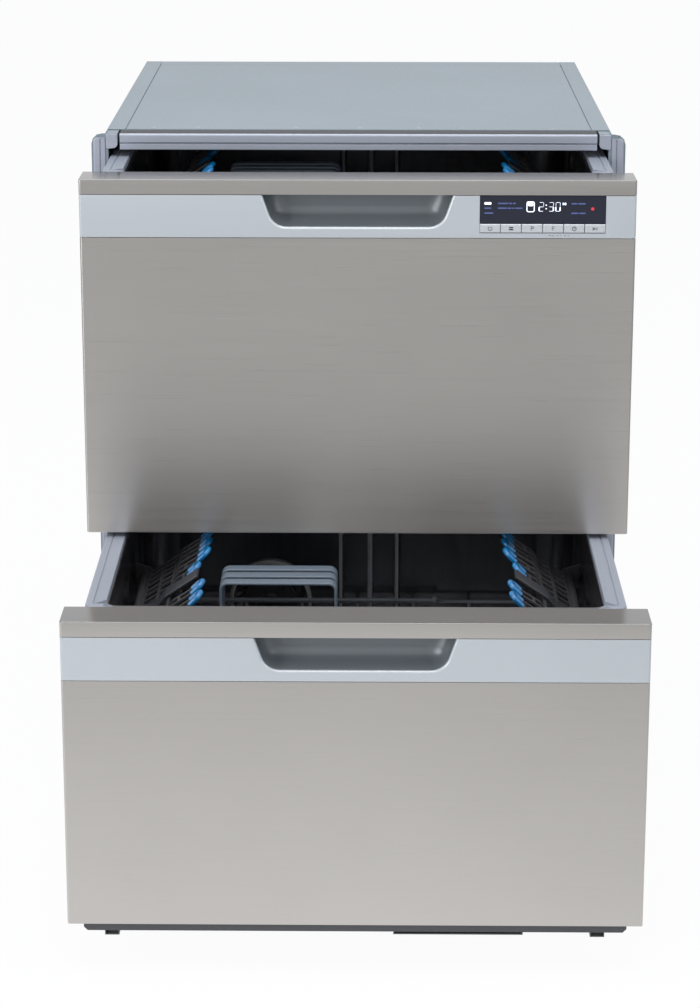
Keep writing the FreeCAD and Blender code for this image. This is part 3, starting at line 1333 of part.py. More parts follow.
def handle_band(with_module):
    """Moulded band with a scooped finger pocket that rises behind the steel cap."""
    body = extrude("z", front_plan(0, 0), BAND_BOTTOM, BAND_TOP, EDGE_FACETS)
    hollow = [
        (BAND_SIDE - HALF_FRONT, BAND_WALL - FRONT_THICKNESS),
        (HALF_FRONT - BAND_SIDE, BAND_WALL - FRONT_THICKNESS),
        (HALF_FRONT - BAND_SIDE, 1),
        (BAND_SIDE - HALF_FRONT, 1),
    ]
    body = body.cut(extrude("z", hollow, BAND_BOTTOM - 1, BAND_TOP + 1))
    pocket_bottom = BAND_TOP - POCKET_HEIGHT
    pocket_top = BAND_TOP + POCKET_RISE
    behind_cap = FRONT_SHEET + FIT - FRONT_THICKNESS
    pocket_rear = POCKET_DEPTH - FRONT_THICKNESS
    shell = extrude(
        "y",
        pocket_corners(POCKET_WALL, pocket_top + POCKET_WALL, pocket_bottom - POCKET_WALL),
        behind_cap,
        pocket_rear + POCKET_WALL,
        POCKET_FACETS,
    )
    body = joined([body, shell])
    scoop = extrude(
        "y", pocket_corners(0, pocket_top, pocket_bottom), -FRONT_THICKNESS - 1, pocket_rear,
        POCKET_FACETS,
    )
    body = body.cut(scoop)
    if not with_module:
        return body
    bottom = BAND_TOP - WINDOW_HEIGHT - BUTTON_HEIGHT
    frame = extrude(
        "y",
        rectangle(MODULE_LEFT - MODULE_LEDGE, MODULE_RIGHT + MODULE_LEDGE,
                  bottom - MODULE_LEDGE, BAND_TOP),
        BAND_WALL - FRONT_THICKNESS - MODULE_FRAME_LAP,
        BAND_WALL - FRONT_THICKNESS + MODULE_LEDGE_DEPTH,
    )
    body = joined([body, frame])
    window = extrude(
        "y", rectangle(MODULE_LEFT, MODULE_RIGHT, BAND_TOP - WINDOW_HEIGHT, BAND_TOP + 1),
        -FRONT_THICKNESS - 1, BAND_WALL - FRONT_THICKNESS,
    )
    light_way = extrude(
        "y",
        rectangle(MODULE_LEFT + MODULE_LEDGE, MODULE_RIGHT - MODULE_LEDGE,
                  BAND_TOP - WINDOW_HEIGHT + MODULE_LEDGE, BAND_TOP - MODULE_LEDGE),
        -FRONT_THICKNESS - 1, 0,
    )
    button_way = extrude(
        "y", rectangle(MODULE_LEFT, MODULE_RIGHT, bottom, BAND_TOP - WINDOW_HEIGHT),
        -FRONT_THICKNESS - 1, 0,
    )
    return body.cut(window).cut(light_way).cut(button_way)


def display_window():
    """Dark pane in the band, over the buttons."""
    rear = BAND_WALL - FRONT_THICKNESS
    return block(
        MODULE_LEFT + FIT, MODULE_RIGHT - FIT, rear - WINDOW_THICKNESS, rear,
        BAND_TOP - WINDOW_HEIGHT + FIT, BAND_TOP - FIT,
    )


def button(index):
    """One push button of the row, with a bevelled face that stands a little proud."""
    pitch = (MODULE_RIGHT - MODULE_LEFT) / BUTTON_COUNT
    left = MODULE_LEFT + pitch * index
    top = BAND_TOP - WINDOW_HEIGHT
    front = -FRONT_THICKNESS - BUTTON_CROWN
    key = block(
        left + FIT, left + pitch - FIT, front, front + BUTTON_DEPTH,
        top - BUTTON_HEIGHT + FIT, top - FIT,
    )
    return bevelled(key, BUTTON_BEVEL, lambda b: b.YMax < front + 0.01)


def front_panel(height):
    """Folded steel panel of the front, open at the top and rear."""
    body = extrude("z", front_plan(0, 0), -height, BAND_BOTTOM, EDGE_FACETS)
    hollow = extrude(
        "z", front_plan(FRONT_SHEET, 1), FRONT_SHEET - height, BAND_BOTTOM + 1,
    )
    return body.cut(hollow)


def front_liner(height):
    """Inner wall of the front with stiffening ribs that reach to the steel panel."""
    half = HALF_FRONT - BAND_SIDE - FIT
    top = -FRONT_SHEET - FIT
    bottom = FRONT_SHEET + FIT - height
    pieces = [extrude("y", rectangle(-half, half, bottom, top), -LINER_WALL, 0)]
    rib_front = FRONT_SHEET + FIT - FRONT_THICKNESS
    rib_top = BAND_BOTTOM - POCKET_WALL
    for x in LINER_RIB_PLACES:
        pieces.append(block(
            x - LINER_RIB / 2, x + LINER_RIB / 2, rib_front, -LINER_WALL / 2, bottom, rib_top,
        ))
    for level in (rib_top, (rib_top + bottom) / 2):
        pieces.append(block(
            FRONT_EDGE_RADIUS - half, half - FRONT_EDGE_RADIUS,
            rib_front, -LINER_WALL / 2, level - LINER_RIB, level,
        ))
    return joined(pieces)


def kick_rail(height):
    """Folded rail under the lower front, with open channel ends under it."""
    top = -height
    face = KICK_SETBACK - FRONT_THICKNESS
    path = [
        (face + KICK_DEPTH, top),
        (face, top),
        (face, top - KICK_HEIGHT),
        (face + KICK_HEIGHT, top - KICK_HEIGHT),
    ]
    half = KICK_WIDTH / 2
    rail = extrude("x", folded(path, KICK_SHEET), -half, half)
    envelope = [
        (-half, top - KICK_HEIGHT, KICK_END_CORNER), (half, top - KICK_HEIGHT, KICK_END_CORNER),
        (half, top), (-half, top),
    ]
    rail = rail.common(extrude("y", envelope, face - 1, 0))
    pieces = [rail]
    for middle, width, drop in KICK_CHANNELS:
        left = middle - width / 2
        right = middle + width / 2
        low = top - KICK_HEIGHT - drop
        high = top - KICK_HEIGHT + KICK_SHEET
        path = [(left, high), (left, low), (right, low), (right, high)]
        channel = extrude("y", folded(path, KICK_SHEET), face, face + KICK_HEIGHT)
        pieces.append(channel)
    return joined(pieces)


# Lids

def lid(rim):
    """Pan-shaped lid with cross ribs and four ears that ride in the cabinet's guides."""
    bottom = rim + LID_SEAL_GAP + LID_TRAVEL + LID_SEAL_HEIGHT
    top = bottom + LID_HEIGHT
    half = LID_WIDTH / 2
    wall = LID_WALL
    plan = rectangle(-half, half, LID_FRONT, LID_REAR, LID_CORNER)
    body = extrude("z", plan, bottom, top)
    hollow = rectangle(
        wall - half, half - wall, LID_FRONT + wall, LID_REAR - wall, LID_CORNER - wall,
    )
    body = body.cut(extrude("z", hollow, bottom + wall, top + 1))
    pieces = [body]
    pitch = (LID_REAR - LID_FRONT) / (LID_RIB_COUNT + 1)
    for index in range(LID_RIB_COUNT):
        y = LID_FRONT + pitch * (index + 1)
        pieces.append(block(
            wall / 2 - half, half - wall / 2, y - wall / 2, y + wall / 2, bottom, top - wall,
        ))
    ear_low = bottom + wall
    for place in LID_EAR_PLACES:
        ear = block(
            half - wall / 2, half + LID_EAR_REACH, place - LID_EAR_WIDTH / 2,
            place + LID_EAR_WIDTH / 2, ear_low, ear_low + LID_EAR_HEIGHT,
        )
        pieces += [ear, mirrored(ear)]
    return joined(pieces)


def lid_seal(rim):
    """Rubber ring under the lid, over the tub's rim."""
    low = rim + LID_SEAL_GAP + LID_TRAVEL
    half = LID_WIDTH / 2 - LID_SEAL_INSET
    front = LID_FRONT + LID_SEAL_INSET
    rear = LID_REAR - LID_SEAL_INSET
    corner = LID_CORNER - LID_SEAL_INSET
    rings = []
    for inset in (0, LID_SEAL_WIDTH):
        plan = rectangle(inset - half, half - inset, front + inset, rear - inset, corner - inset)
        rings.append(extrude("z", plan, low - inset, low + LID_SEAL_HEIGHT + inset))
    return bevelled(
        rings[0].cut(rings[1]), LID_SEAL_BEVEL,
        lambda b: b.ZMax < low + 0.01 and (b.XMax > half - 1 or b.XMin < 1 - half),
    )


# Services at the rear of the cabinet

def service_nozzle(x, z, radius, bore, bore_depth, collar, body_depth):
    """Nozzle on a flat-sided neck through the rear panel, with a collar behind the panel."""
    start = CABINET_DEPTH - SHEET - body_depth
    neck_length = CABINET_DEPTH - start
    neck = prism(Vector(x, start, z), "y", neck_radius(radius), neck_length, SERVICE_HOLE_SIDES)
    nozzle = rod(Vector(x, CABINET_DEPTH, z), "y", radius, SERVICE_REACH)
    flange = prism(Vector(x, start, z), "y", collar, body_depth - SHEET, COLLAR_SIDES)
    bore_start = Vector(x, REAR_REACH - bore_depth, z)
    hole = prism(bore_start, "y", bore, bore_depth + 1, SERVICE_HOLE_SIDES)
    return joined([nozzle, neck, flange]).cut(hole)


def water_inlet():
    """Inlet valve with its nozzle through the rear panel, a foot and a solenoid on top."""
    nozzle = service_nozzle(
        INLET_X, INLET_Z, INLET_RADIUS, INLET_BORE, INLET_BORE_DEPTH, INLET_COLLAR, INLET_BODY,
    )
    middle = CABINET_DEPTH - 2 * SHEET - SOLENOID_SETBACK
    start = Vector(INLET_X, middle, INLET_Z)
    solenoid = prism(start, "z", SOLENOID_RADIUS, SOLENOID_HEIGHT, SOLENOID_SIDES)
    foot = block(
        INLET_X - INLET_FOOT_WIDTH / 2, INLET_X + INLET_FOOT_WIDTH / 2,
        middle - INLET_FOOT_DEPTH / 2, middle + INLET_FOOT_DEPTH / 2,
        PAN_FLOOR + PAN_SHEET, INLET_Z,
    )
    return joined([nozzle, solenoid, foot])


def drain_outlet():
    """Drain spigot through the rear panel."""
    return service_nozzle(
        DRAIN_X, DRAIN_Z, SPIGOT_RADIUS, SPIGOT_BORE, DRAIN_BORE_DEPTH, DRAIN_COLLAR, DRAIN_BODY,
    )


def cable_gland():
    """Moulded eight-sided gland for the supply lead in the rear panel, left empty."""
    start = CABINET_DEPTH - SHEET - GLAND_BODY
    centre = Vector(GLAND_X, start, GLAND_Z)
    length = GLAND_BODY + SHEET + GLAND_REACH
    body = prism(centre, "y", neck_radius(GLAND_RADIUS - NECK_STEP), length, GLAND_SIDES)
    flange = prism(centre, "y", GLAND_FLANGE, GLAND_BODY - SHEET, GLAND_SIDES)
    hole = prism(centre - Vector(0, 1, 0), "y", GLAND_BORE, length + 2, GLAND_SIDES)
    return joined([body, flange]).cut(hole)


# The whole object

def drawer_pieces(name, rim, opening, height):
    """Every piece of one drawer, in its place at rest."""
    tub_with_hangers = joined([tub(), shelf_hanger(), mirrored(shelf_hanger())])
    pieces = {
        "tub": tub_with_hangers,
        "tub_rim": tub_rim(),
        "filter": filter_basket(),
        "spray_arm": spray_arm(),
        "pump": pump(),
        "rack": rack(),
        "cup_shelf_left": cup_shelf(-1),
        "cup_shelf_right": cup_shelf(1),
        "cutlery_basket": cutlery_basket(),
        "dispenser": dispenser(),
        "dispenser_lid": dispenser_lid(),
        "vent_grille": vent_grille(),
        "runner_inner": runner_inner(),
        "front_cap": front_cap(),
        "handle_band": handle_band(name == "upper"),
        "front_panel": front_panel(height),
        "front_liner": front_liner(height),
    }
    if name == "upper":
        pieces["display_window"] = display_window()
        for index, label in enumerate(BUTTON_NAMES):
            pieces["button_" + label] = button(index)
    else:
        pieces["kick_rail"] = kick_rail(height)
    place = Vector(0, -opening, rim)
    made = {name + "_" + key: shape.translated(place) for key, shape in pieces.items()}
    made[name + "_runner_middle"] = runner_middle(rim, opening)
    made[name + "_lid"] = lid(rim)
    made[name + "_lid_seal"] = lid_seal(rim)
    return made


def all_pieces():
    """Every piece of the object by its name."""
    right = side_panel_right()
    pieces = {
        "side_panel_right": right,
        "side_panel_left": mirrored(right),
        "top_panel": top_panel(),
        "top_front_rail": top_front_rail(),
        "rear_panel": rear_panel(),
        "base_pan": base_pan(),
        "middle_rail": middle_rail(),
        "levelling_feet": levelling_feet(),
        "cabinet_runners": cabinet_runners(),
        "water_inlet": water_inlet(),
        "drain_outlet": drain_outlet(),
        "cable_gland": cable_gland(),
    }
    pieces.update(drawer_pieces("upper", UPPER_RIM, UPPER_OPENING, UPPER_FRONT_HEIGHT))
    pieces.update(drawer_pieces("lower", LOWER_RIM, LOWER_OPENING, LOWER_FRONT_HEIGHT))
    return pieces


os.makedirs("parts", exist_ok=True)
for piece_name, piece in all_pieces().items():
    placed = piece.translated(Vector(0, CENTRE_SHIFT, 0))
    placed.exportStep(os.path.join("parts", piece_name + ".step"))
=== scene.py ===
"""Looks of a dishwasher with two drawers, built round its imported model.

Lengths in the classes are millimetres, as on a maker's drawing, and become metres when a
piece is placed. A drawer's pieces are drawn with Y = 0 on the rear of its front and Z = 0 on
its rim. The cabinet's pieces are drawn with Y = 0 on its front flanges and Z = 0 on the floor.
"""

import logging
import math
from collections.abc import Sequence
from dataclasses import dataclass, replace
from enum import Enum

import bmesh
import bpy
import numpy as np
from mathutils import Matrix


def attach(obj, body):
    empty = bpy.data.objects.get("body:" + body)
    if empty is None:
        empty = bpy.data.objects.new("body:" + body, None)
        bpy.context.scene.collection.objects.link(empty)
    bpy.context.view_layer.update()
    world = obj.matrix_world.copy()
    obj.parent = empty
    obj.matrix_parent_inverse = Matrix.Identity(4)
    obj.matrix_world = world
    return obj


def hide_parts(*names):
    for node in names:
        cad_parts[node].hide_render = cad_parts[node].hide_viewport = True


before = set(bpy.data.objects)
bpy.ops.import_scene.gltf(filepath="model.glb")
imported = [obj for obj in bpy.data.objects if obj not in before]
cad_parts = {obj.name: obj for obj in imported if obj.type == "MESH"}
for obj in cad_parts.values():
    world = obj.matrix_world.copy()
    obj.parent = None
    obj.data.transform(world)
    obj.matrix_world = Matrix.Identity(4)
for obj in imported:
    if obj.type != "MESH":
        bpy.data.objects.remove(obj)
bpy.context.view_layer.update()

LOG = logging.getLogger("dishwasher")
MM = 0.001
CENTRE_SHIFT = -82.5
WELD = 0.00002
SLIVER = 0.00001
Array = np.ndarray
Value = bpy.types.NodeSocket | float | Sequence[float]


# Surfaces as whole arrays


@dataclass
class Surface:
    """Points and faces of one surface.

    Attributes:
        points: Place of each point, one row each, in millimetres.
        corners: Point index of each face corner, face after face.
        sizes: Count of corners of each face.
        marks: Index of the finish of each face.
    """

    points: Array
    corners: Array
    sizes: Array
    marks: Array

    def moved(self, x: float = 0.0, y: float = 0.0, z: float = 0.0) -> "Surface":
        """Same surface shifted by a vector."""
        return replace(self, points=self.points + np.array([x, y, z]))

    def flipped_x(self) -> "Surface":
        """Mirror image in the middle plane; the normals are put right when it is made."""
        return replace(self, points=self.points * [-1, 1, 1])

    def turned_y(self, angle: float) -> "Surface":
        """Same surface turned about the Y axis: x and z mix by the cosine and sine.

        Args:
            angle: Turn in radians.

        Returns:
            The turned surface.
        """
        c, s = math.cos(angle), math.sin(angle)
        turn = np.array([[c, 0, s], [0, 1, 0], [-s, 0, c]])
        return replace(self, points=self.points @ turn.T)

    def marked(self, mark: int) -> "Surface":
        """Same surface in another of the piece's finishes."""
        return replace(self, marks=np.full_like(self.marks, mark))


def joined(parts: Sequence[Surface]) -> Surface:
    """One surface from several, with each part's point numbers moved past the last's.

    Args:
        parts: Surfaces to put together.

    Returns:
        The joined surface.
    """
    starts = np.cumsum([0] + [len(part.points) for part in parts[:-1]])
    return Surface(
        np.concatenate([part.points for part in parts]),
        np.concatenate([part.corners + start for part, start in zip(parts, starts)]),
        np.concatenate([part.sizes for part in parts]),
        np.concatenate([part.marks for part in parts]),
    )


def grid(points: Array, wrap_rows: bool = False, wrap_columns: bool = False) -> Surface:
    """Four-sided faces between the rows and columns of a grid of points.

    Args:
        points: Grid of points, rows by columns by three.
        wrap_rows: Whether the last row joins the first.
        wrap_columns: Whether the last column joins the first.

    Returns:
        The surface.
    """
    rows, columns = points.shape[:2]
    row, column = np.meshgrid(
        np.arange(rows if wrap_rows else rows - 1),
        np.arange(columns if wrap_columns else columns - 1),
        indexing="ij",
    )
    below, right = (row + 1) % rows, (column + 1) % columns
    quads = np.stack(
        [row * columns + column, row * columns + right, below * columns + right,
         below * columns + column], axis=-1,
    ).reshape(-1, 4)
    count = len(quads)
    return Surface(
        points.reshape(-1, 3), quads.ravel(), np.full(count, 4), np.zeros(count, dtype=int),
    )


def skin(rings: Array, first: bool = True) -> Surface:
    """Surface through closed rings, with its first and last ring closed by one face each.

    Args:
        rings: Grid of points, ring by ring.
        first: Whether the first ring is closed too.

    Returns:
        The surface.
    """
    side = grid(rings, wrap_columns=True)
    rows, columns = rings.shape[:2]
    ends = [np.arange(columns)[::-1]] if first else []
    ends.append(np.arange(columns) + (rows - 1) * columns)
    return Surface(
        side.points,
        np.concatenate([side.corners, *ends]),
        np.concatenate([side.sizes, np.full(len(ends), columns)]),
        np.concatenate([side.marks, np.zeros(len(ends), dtype=int)]),
    )


def plate(points: Array) -> Surface:
    """One flat face round a ring of points."""
    count = len(points)
    return Surface(points, np.arange(count), np.array([count]), np.array([0]))


def raised(flat: Array, level: float, axis: str = "z") -> Array:
    """Points from flat coordinates (u, v), with the third coordinate, on an axis, constant.

    Args:
        flat: Points in two coordinates.
        level: The third coordinate.
        axis: Axis of the third coordinate.

    Returns:
        The points in three coordinates.
    """
    column = np.full(len(flat), float(level))
    order = {"x": (column, flat[:, 0], flat[:, 1]), "y": (flat[:, 0], column, flat[:, 1]),
             "z": (flat[:, 0], flat[:, 1], column)}[axis]
    return np.stack(order, axis=-1)


def rounded_path(corners: Array, radii: Sequence[float] | float, steps: int = 6,
                 closed: bool = False) -> Array:
    """Path through corners, each rounded by an arc.

    At a corner whose sides leave at half angle h, the arc of radius r has its centre on the
    bisector at r / sin h and touches the sides at r / tan h.

    Args:
        corners: Corner points, in two or three coordinates.
        radii: One radius, or one for each corner; 0 keeps a corner sharp.
        steps: Count of chords of each arc.
        closed: Whether the path returns to its start.

    Returns:
        The points of the path.
    """
    corners = np.asarray(corners, dtype=float)
    count = len(corners)
    radii = np.full(count, radii, dtype=float) if np.isscalar(radii) else np.asarray(radii)
    pieces = []
    for index in range(count):
        here, radius = corners[index], radii[index]
        if radius <= 0 or (not closed and index in (0, count - 1)):
            pieces.append(here[None])
            continue
        back = corners[index - 1] - here
        ahead = corners[(index + 1) % count] - here
        back, ahead = back / np.linalg.norm(back), ahead / np.linalg.norm(ahead)
        half = math.acos(np.clip(back @ ahead, -1, 1)) / 2
        middle = (back + ahead) / np.linalg.norm(back + ahead)
        centre = here + middle * radius / math.sin(half)
        spoke = here + back * radius / math.tan(half) - centre
        other = here + ahead * radius / math.tan(half) - centre
        sweep = math.pi - 2 * half
        turn = np.linspace(0, 1, steps + 1)[:, None]
        pieces.append(centre + (spoke * np.sin((1 - turn) * sweep)
                                + other * np.sin(turn * sweep)) / math.sin(sweep))
    return np.concatenate(pieces)


def rounded_ring(x0: float, x1: float, y0: float, y1: float, radius: float, steps: int = 8,
                 fill: Sequence[int] = (0, 0, 0, 0), front: float | None = None) -> Array:
    """Ring of a rectangle with round corners, always with the same count of points.

    Args:
        x0, x1, y0, y1: Sides of the rectangle.
        radius: Radius of its corners.
        steps: Count of chords of each corner.
        fill: Count of extra points on the rear, left, front and right side.
        front: Radius of the two front corners, where it differs.

    Returns:
        The points, from the right rear corner round by the rear, left and front.
    """
    turn = np.linspace(0, math.pi / 2, steps + 1)
    near = radius if front is None else front
    centres = ((x1 - radius, y1 - radius, radius), (x0 + radius, y1 - radius, radius),
               (x0 + near, y0 + near, near), (x1 - near, y0 + near, near))
    arcs = [np.stack([x + r * np.cos(turn + k * math.pi / 2),
                      y + r * np.sin(turn + k * math.pi / 2)], axis=-1)
            for k, (x, y, r) in enumerate(centres)]
    pieces = []
    for k, arc in enumerate(arcs):
        between = np.linspace(arc[-1], arcs[(k + 1) % 4][0], fill[k] + 2)[1:-1]
        pieces += [arc, between]
    return np.concatenate(pieces)


def bar(path: Array, section: Array, closed: bool = False) -> Surface:
    """Section carried along a path in one plane.

    The section's first coordinate runs across the path's plane, its second in the plane, square
    to the path; where the path bends, the second is stretched by one over the cosine of half
    the bend, so that the bar keeps its thickness.

    Args:
        path: Points of the path, in three coordinates.
        section: Points of the section, in two.
        closed: Whether the path returns to its start.

    Returns:
        A closed surface.
    """
    ahead = np.roll(path, -1, axis=0) - path
    if not closed:
        ahead[-1] = ahead[-2]
    ahead /= np.linalg.norm(ahead, axis=1, keepdims=True)
    back = np.roll(ahead, 1, axis=0)
    if not closed:
        back[0] = ahead[0]
    across = np.linalg.svd(path - path.mean(axis=0))[2][-1]
    along = ahead + back
    along /= np.linalg.norm(along, axis=1, keepdims=True)
    cosine = np.clip(np.sum(along * ahead, axis=1), 0.3, 1)[:, None]
    inward = np.cross(along, across) / cosine
    rings = (path[:, None] + section[None, :, :1] * across[None, None]
             + section[None, :, 1:2] * inward[:, None])
    if closed:
        return grid(rings, wrap_rows=True, wrap_columns=True)
    return skin(rings)


def circle(radius: float, sides: int = 10) -> Array:
    """Section of a round bar: radius times the cosine and sine of each turn."""
    turn = np.linspace(0, 2 * math.pi, sides, endpoint=False)
    return radius * np.stack([np.cos(turn), np.sin(turn)], axis=-1)


def flat_section(width: float, thickness: float, radius: float) -> Array:
    """Section of a flat bar with rounded edges, in the order that bar() takes."""
    return rounded_ring(-width / 2, width / 2, -thickness / 2, thickness / 2, radius, steps=3)


def lathe(profile: Array, centre: Sequence[float], axis: str = "z", sides: int = 32) -> Surface:
    """Profile of (radius, height) turned about an axis through a centre.

    A point at turn t stands at radius times the cosine and sine of t from the axis.

    Args:
        profile: Points of (radius, height).
        centre: Where the axis starts.
        axis: Direction of the axis.
        sides: Count of sides.

    Returns:
        A closed surface.
    """
    profile = np.asarray(profile, dtype=float)
    turn = np.linspace(0, 2 * math.pi, sides, endpoint=False)
    radius = np.maximum(profile[:, :1], 0.02)
    u, v = radius * np.cos(turn), radius * np.sin(turn)
    w = np.broadcast_to(profile[:, 1:2], u.shape)
    order = {"x": (w, u, v), "y": (u, w, v), "z": (u, v, w)}[axis]
    return skin(np.stack(order, axis=-1) + np.asarray(centre, dtype=float))


def inset(ring: Array, amount: float) -> Array:
    """Ring moved inwards by an amount.

    Each point moves along the sum of its two sides' normals over one plus their dot product.

    Args:
        ring: Points of the ring.
        amount: How far each side moves in.

    Returns:
        The moved ring.
    """
    side = np.roll(ring, -1, axis=0) - ring
    side /= np.maximum(np.linalg.norm(side, axis=1, keepdims=True), 1e-9)
    normal = np.stack([side[:, 1], -side[:, 0]], axis=-1)
    area = np.sum(ring[:, 0] * np.roll(ring[:, 1], -1) - ring[:, 1] * np.roll(ring[:, 0], -1))
    before = np.roll(normal, 1, axis=0)
    mitre = (before + normal) / (1 + np.sum(before * normal, axis=1, keepdims=True))
    return ring - mitre * amount * np.sign(area)


def quarter(radius: float, steps: int) -> Array:
    """Quarter circle: the radius times one minus the sine, and one minus the cosine.

    Args:
        radius: The radius.
        steps: Count of chords.

    Returns:
        Pairs from (radius, 0) to (0, radius).
    """
    turn = np.linspace(0, math.pi / 2, steps + 1)
    return radius * np.stack([1 - np.sin(turn), 1 - np.cos(turn)], axis=-1)


def slab(ring: Array, low: float, high: float, edge: float = 0.0, axis: str = "z",
         steps: int = 3) -> Surface:
    """Solid between two levels of one outline, with rounded edges.

    Along a quarter circle the outline is inset by its first measure, and stands its second
    from the face.

    Args:
        ring: Outline.
        low, high: The two levels.
        edge: Radius of the edges, 0 for sharp ones.
        axis: Axis of the levels.
        steps: Count of chords of each edge.

    Returns:
        A closed surface.
    """
    if edge <= 0:
        return skin(np.stack([raised(ring, low, axis), raised(ring, high, axis)]))
    turn = quarter(edge, steps)
    rings = [raised(inset(ring, draw), low + rise, axis) for draw, rise in turn]
    rings += [raised(inset(ring, draw), high - rise, axis) for draw, rise in turn[::-1]]
    return skin(np.stack(rings))


def rectangle(x0: float, x1: float, y0: float, y1: float) -> Array:
    """Four corners of a rectangle."""
    return np.array([(x0, y0), (x1, y0), (x1, y1), (x0, y1)], dtype=float)


# Finishes


class Grain(Enum):
    """How the fine texture of a surface runs, as its lines per metre on X, Y and Z."""

    BRUSHED = (6.0, 2600.0, 2600.0)
    DRAWN = (260.0, 260.0, 26.0)
    SHEET = (420.0, 420.0, 420.0)
    MOULDED = (1500.0, 1500.0, 1500.0)
    COARSE = (700.0, 700.0, 700.0)
    PLAIN = (60.0, 60.0, 60.0)


def linear(colour: Sequence[float]) -> tuple[float, float, float, float]:
    """Linear light of a screen colour from 0 to 255, with full cover.

    Args:
        colour: Screen colour.

    Returns:
        The colour as a shader takes it.
    """
    share = np.asarray(colour, dtype=float) / 255
    value = np.where(share <= 0.04045, share / 12.92, ((share + 0.055) / 1.055) ** 2.4)
    return float(value[0]), float(value[1]), float(value[2]), 1.0


@dataclass(frozen=True)
class Wiring:
    """Nodes of a material or of the world, and how they are added and joined.

    A socket that is given as a value is linked, and a number or a row of numbers is set.

    Attributes:
        owner: The material or the world.
    """

    owner: bpy.types.Material | bpy.types.World

    def __post_init__(self) -> None:
        """Switch the owner's nodes on."""
        self.owner.use_nodes = True

    def __getitem__(self, name: str) -> bpy.types.Node:
        """Node of a name."""
        return self.owner.node_tree.nodes[name]

    def feed(self, node: bpy.types.Node, values: dict[str | int, Value]) -> None:
        """Set or link a node's inputs.

        Args:
            node: The node.
            values: Values by place or by name; a name is that of an input that is switched on.
        """
        live = {socket.name: socket for socket in node.inputs if socket.enabled}
        for key, value in values.items():
            target = node.inputs[key] if isinstance(key, int) else live[key]
            if isinstance(value, bpy.types.NodeSocket):
                self.owner.node_tree.links.new(value, target)
            else:
                target.default_value = value

    def add(self, kind: str, values: dict[str | int, Value],
            **settings: str) -> bpy.types.NodeSocket:
        """Add a node.

        Args:
            kind: Type of the node.
            values: Values of its inputs.
            settings: Its own settings.

        Returns:
            Its first output that is switched on.
        """
        node = self.owner.node_tree.nodes.new(kind)
        for name, setting in settings.items():
            setattr(node, name, setting)
        self.feed(node, values)
        return next(socket for socket in node.outputs if socket.enabled)

    def source(self, kind: str, name: str) -> bpy.types.NodeSocket:
        """Named output of a new node."""
        return self.owner.node_tree.nodes.new(kind).outputs[name]

    def maths(self, operation: str, *values: Value) -> bpy.types.NodeSocket:
        """One step of arithmetic."""
        return self.add("ShaderNodeMath", dict(enumerate(values)), operation=operation)

    def vector(self, operation: str, *values: Value) -> bpy.types.NodeSocket:
        """One step of arithmetic on vectors."""
        return self.add("ShaderNodeVectorMath", dict(enumerate(values)), operation=operation)

    def mixed(self, blend: str, share: Value, first: Value, second: Value) -> bpy.types.NodeSocket:
        """Blend of two colours by a share."""
        return self.add("ShaderNodeMix", {"Factor": share, "A": first, "B": second},
                        data_type="RGBA", blend_type=blend)

    def ranged(self, value: Value, old: Sequence[float],
               middle: float, reach: float) -> bpy.types.NodeSocket:
        """Value moved from an old range on to a middle plus or minus a reach."""
        return self.add("ShaderNodeMapRange", {
            "Value": value, "From Min": old[0], "From Max": old[1],
            "To Min": middle - reach, "To Max": middle + reach})

    def noise(self, place: Value, scale: Sequence[float], detail: float) -> bpy.types.NodeSocket:
        """Noise on a place stretched by a scale on each axis, with a count of octaves."""
        mapped = self.add("ShaderNodeMapping", {"Scale": scale, "Vector": place})
        return self.add("ShaderNodeTexNoise", {"Scale": 1.0, "Detail": detail, "Vector": mapped})

    def blend(self, share: Value, first: Value, second: Value, end: str) -> None:
        """Lead a blend of two shaders by a share to the node that ends the nodes."""
        both = self.add("ShaderNodeMixShader", {0: share, 1: first, 2: second})
        self.feed(self[end], {"Surface": both})


FINE_OCTAVES = 3.0
BROAD_OCTAVES = 2.0
BROAD_SCALE = (7.0, 7.0, 9.0)
BROAD_RANGE = (0.3, 0.7)
FINE_RANGE = (0.25, 0.75)
COAT_ROUGHNESS = 0.06
BRUSH_STRETCH = 0.75
BRUSH_TURN = 0.25


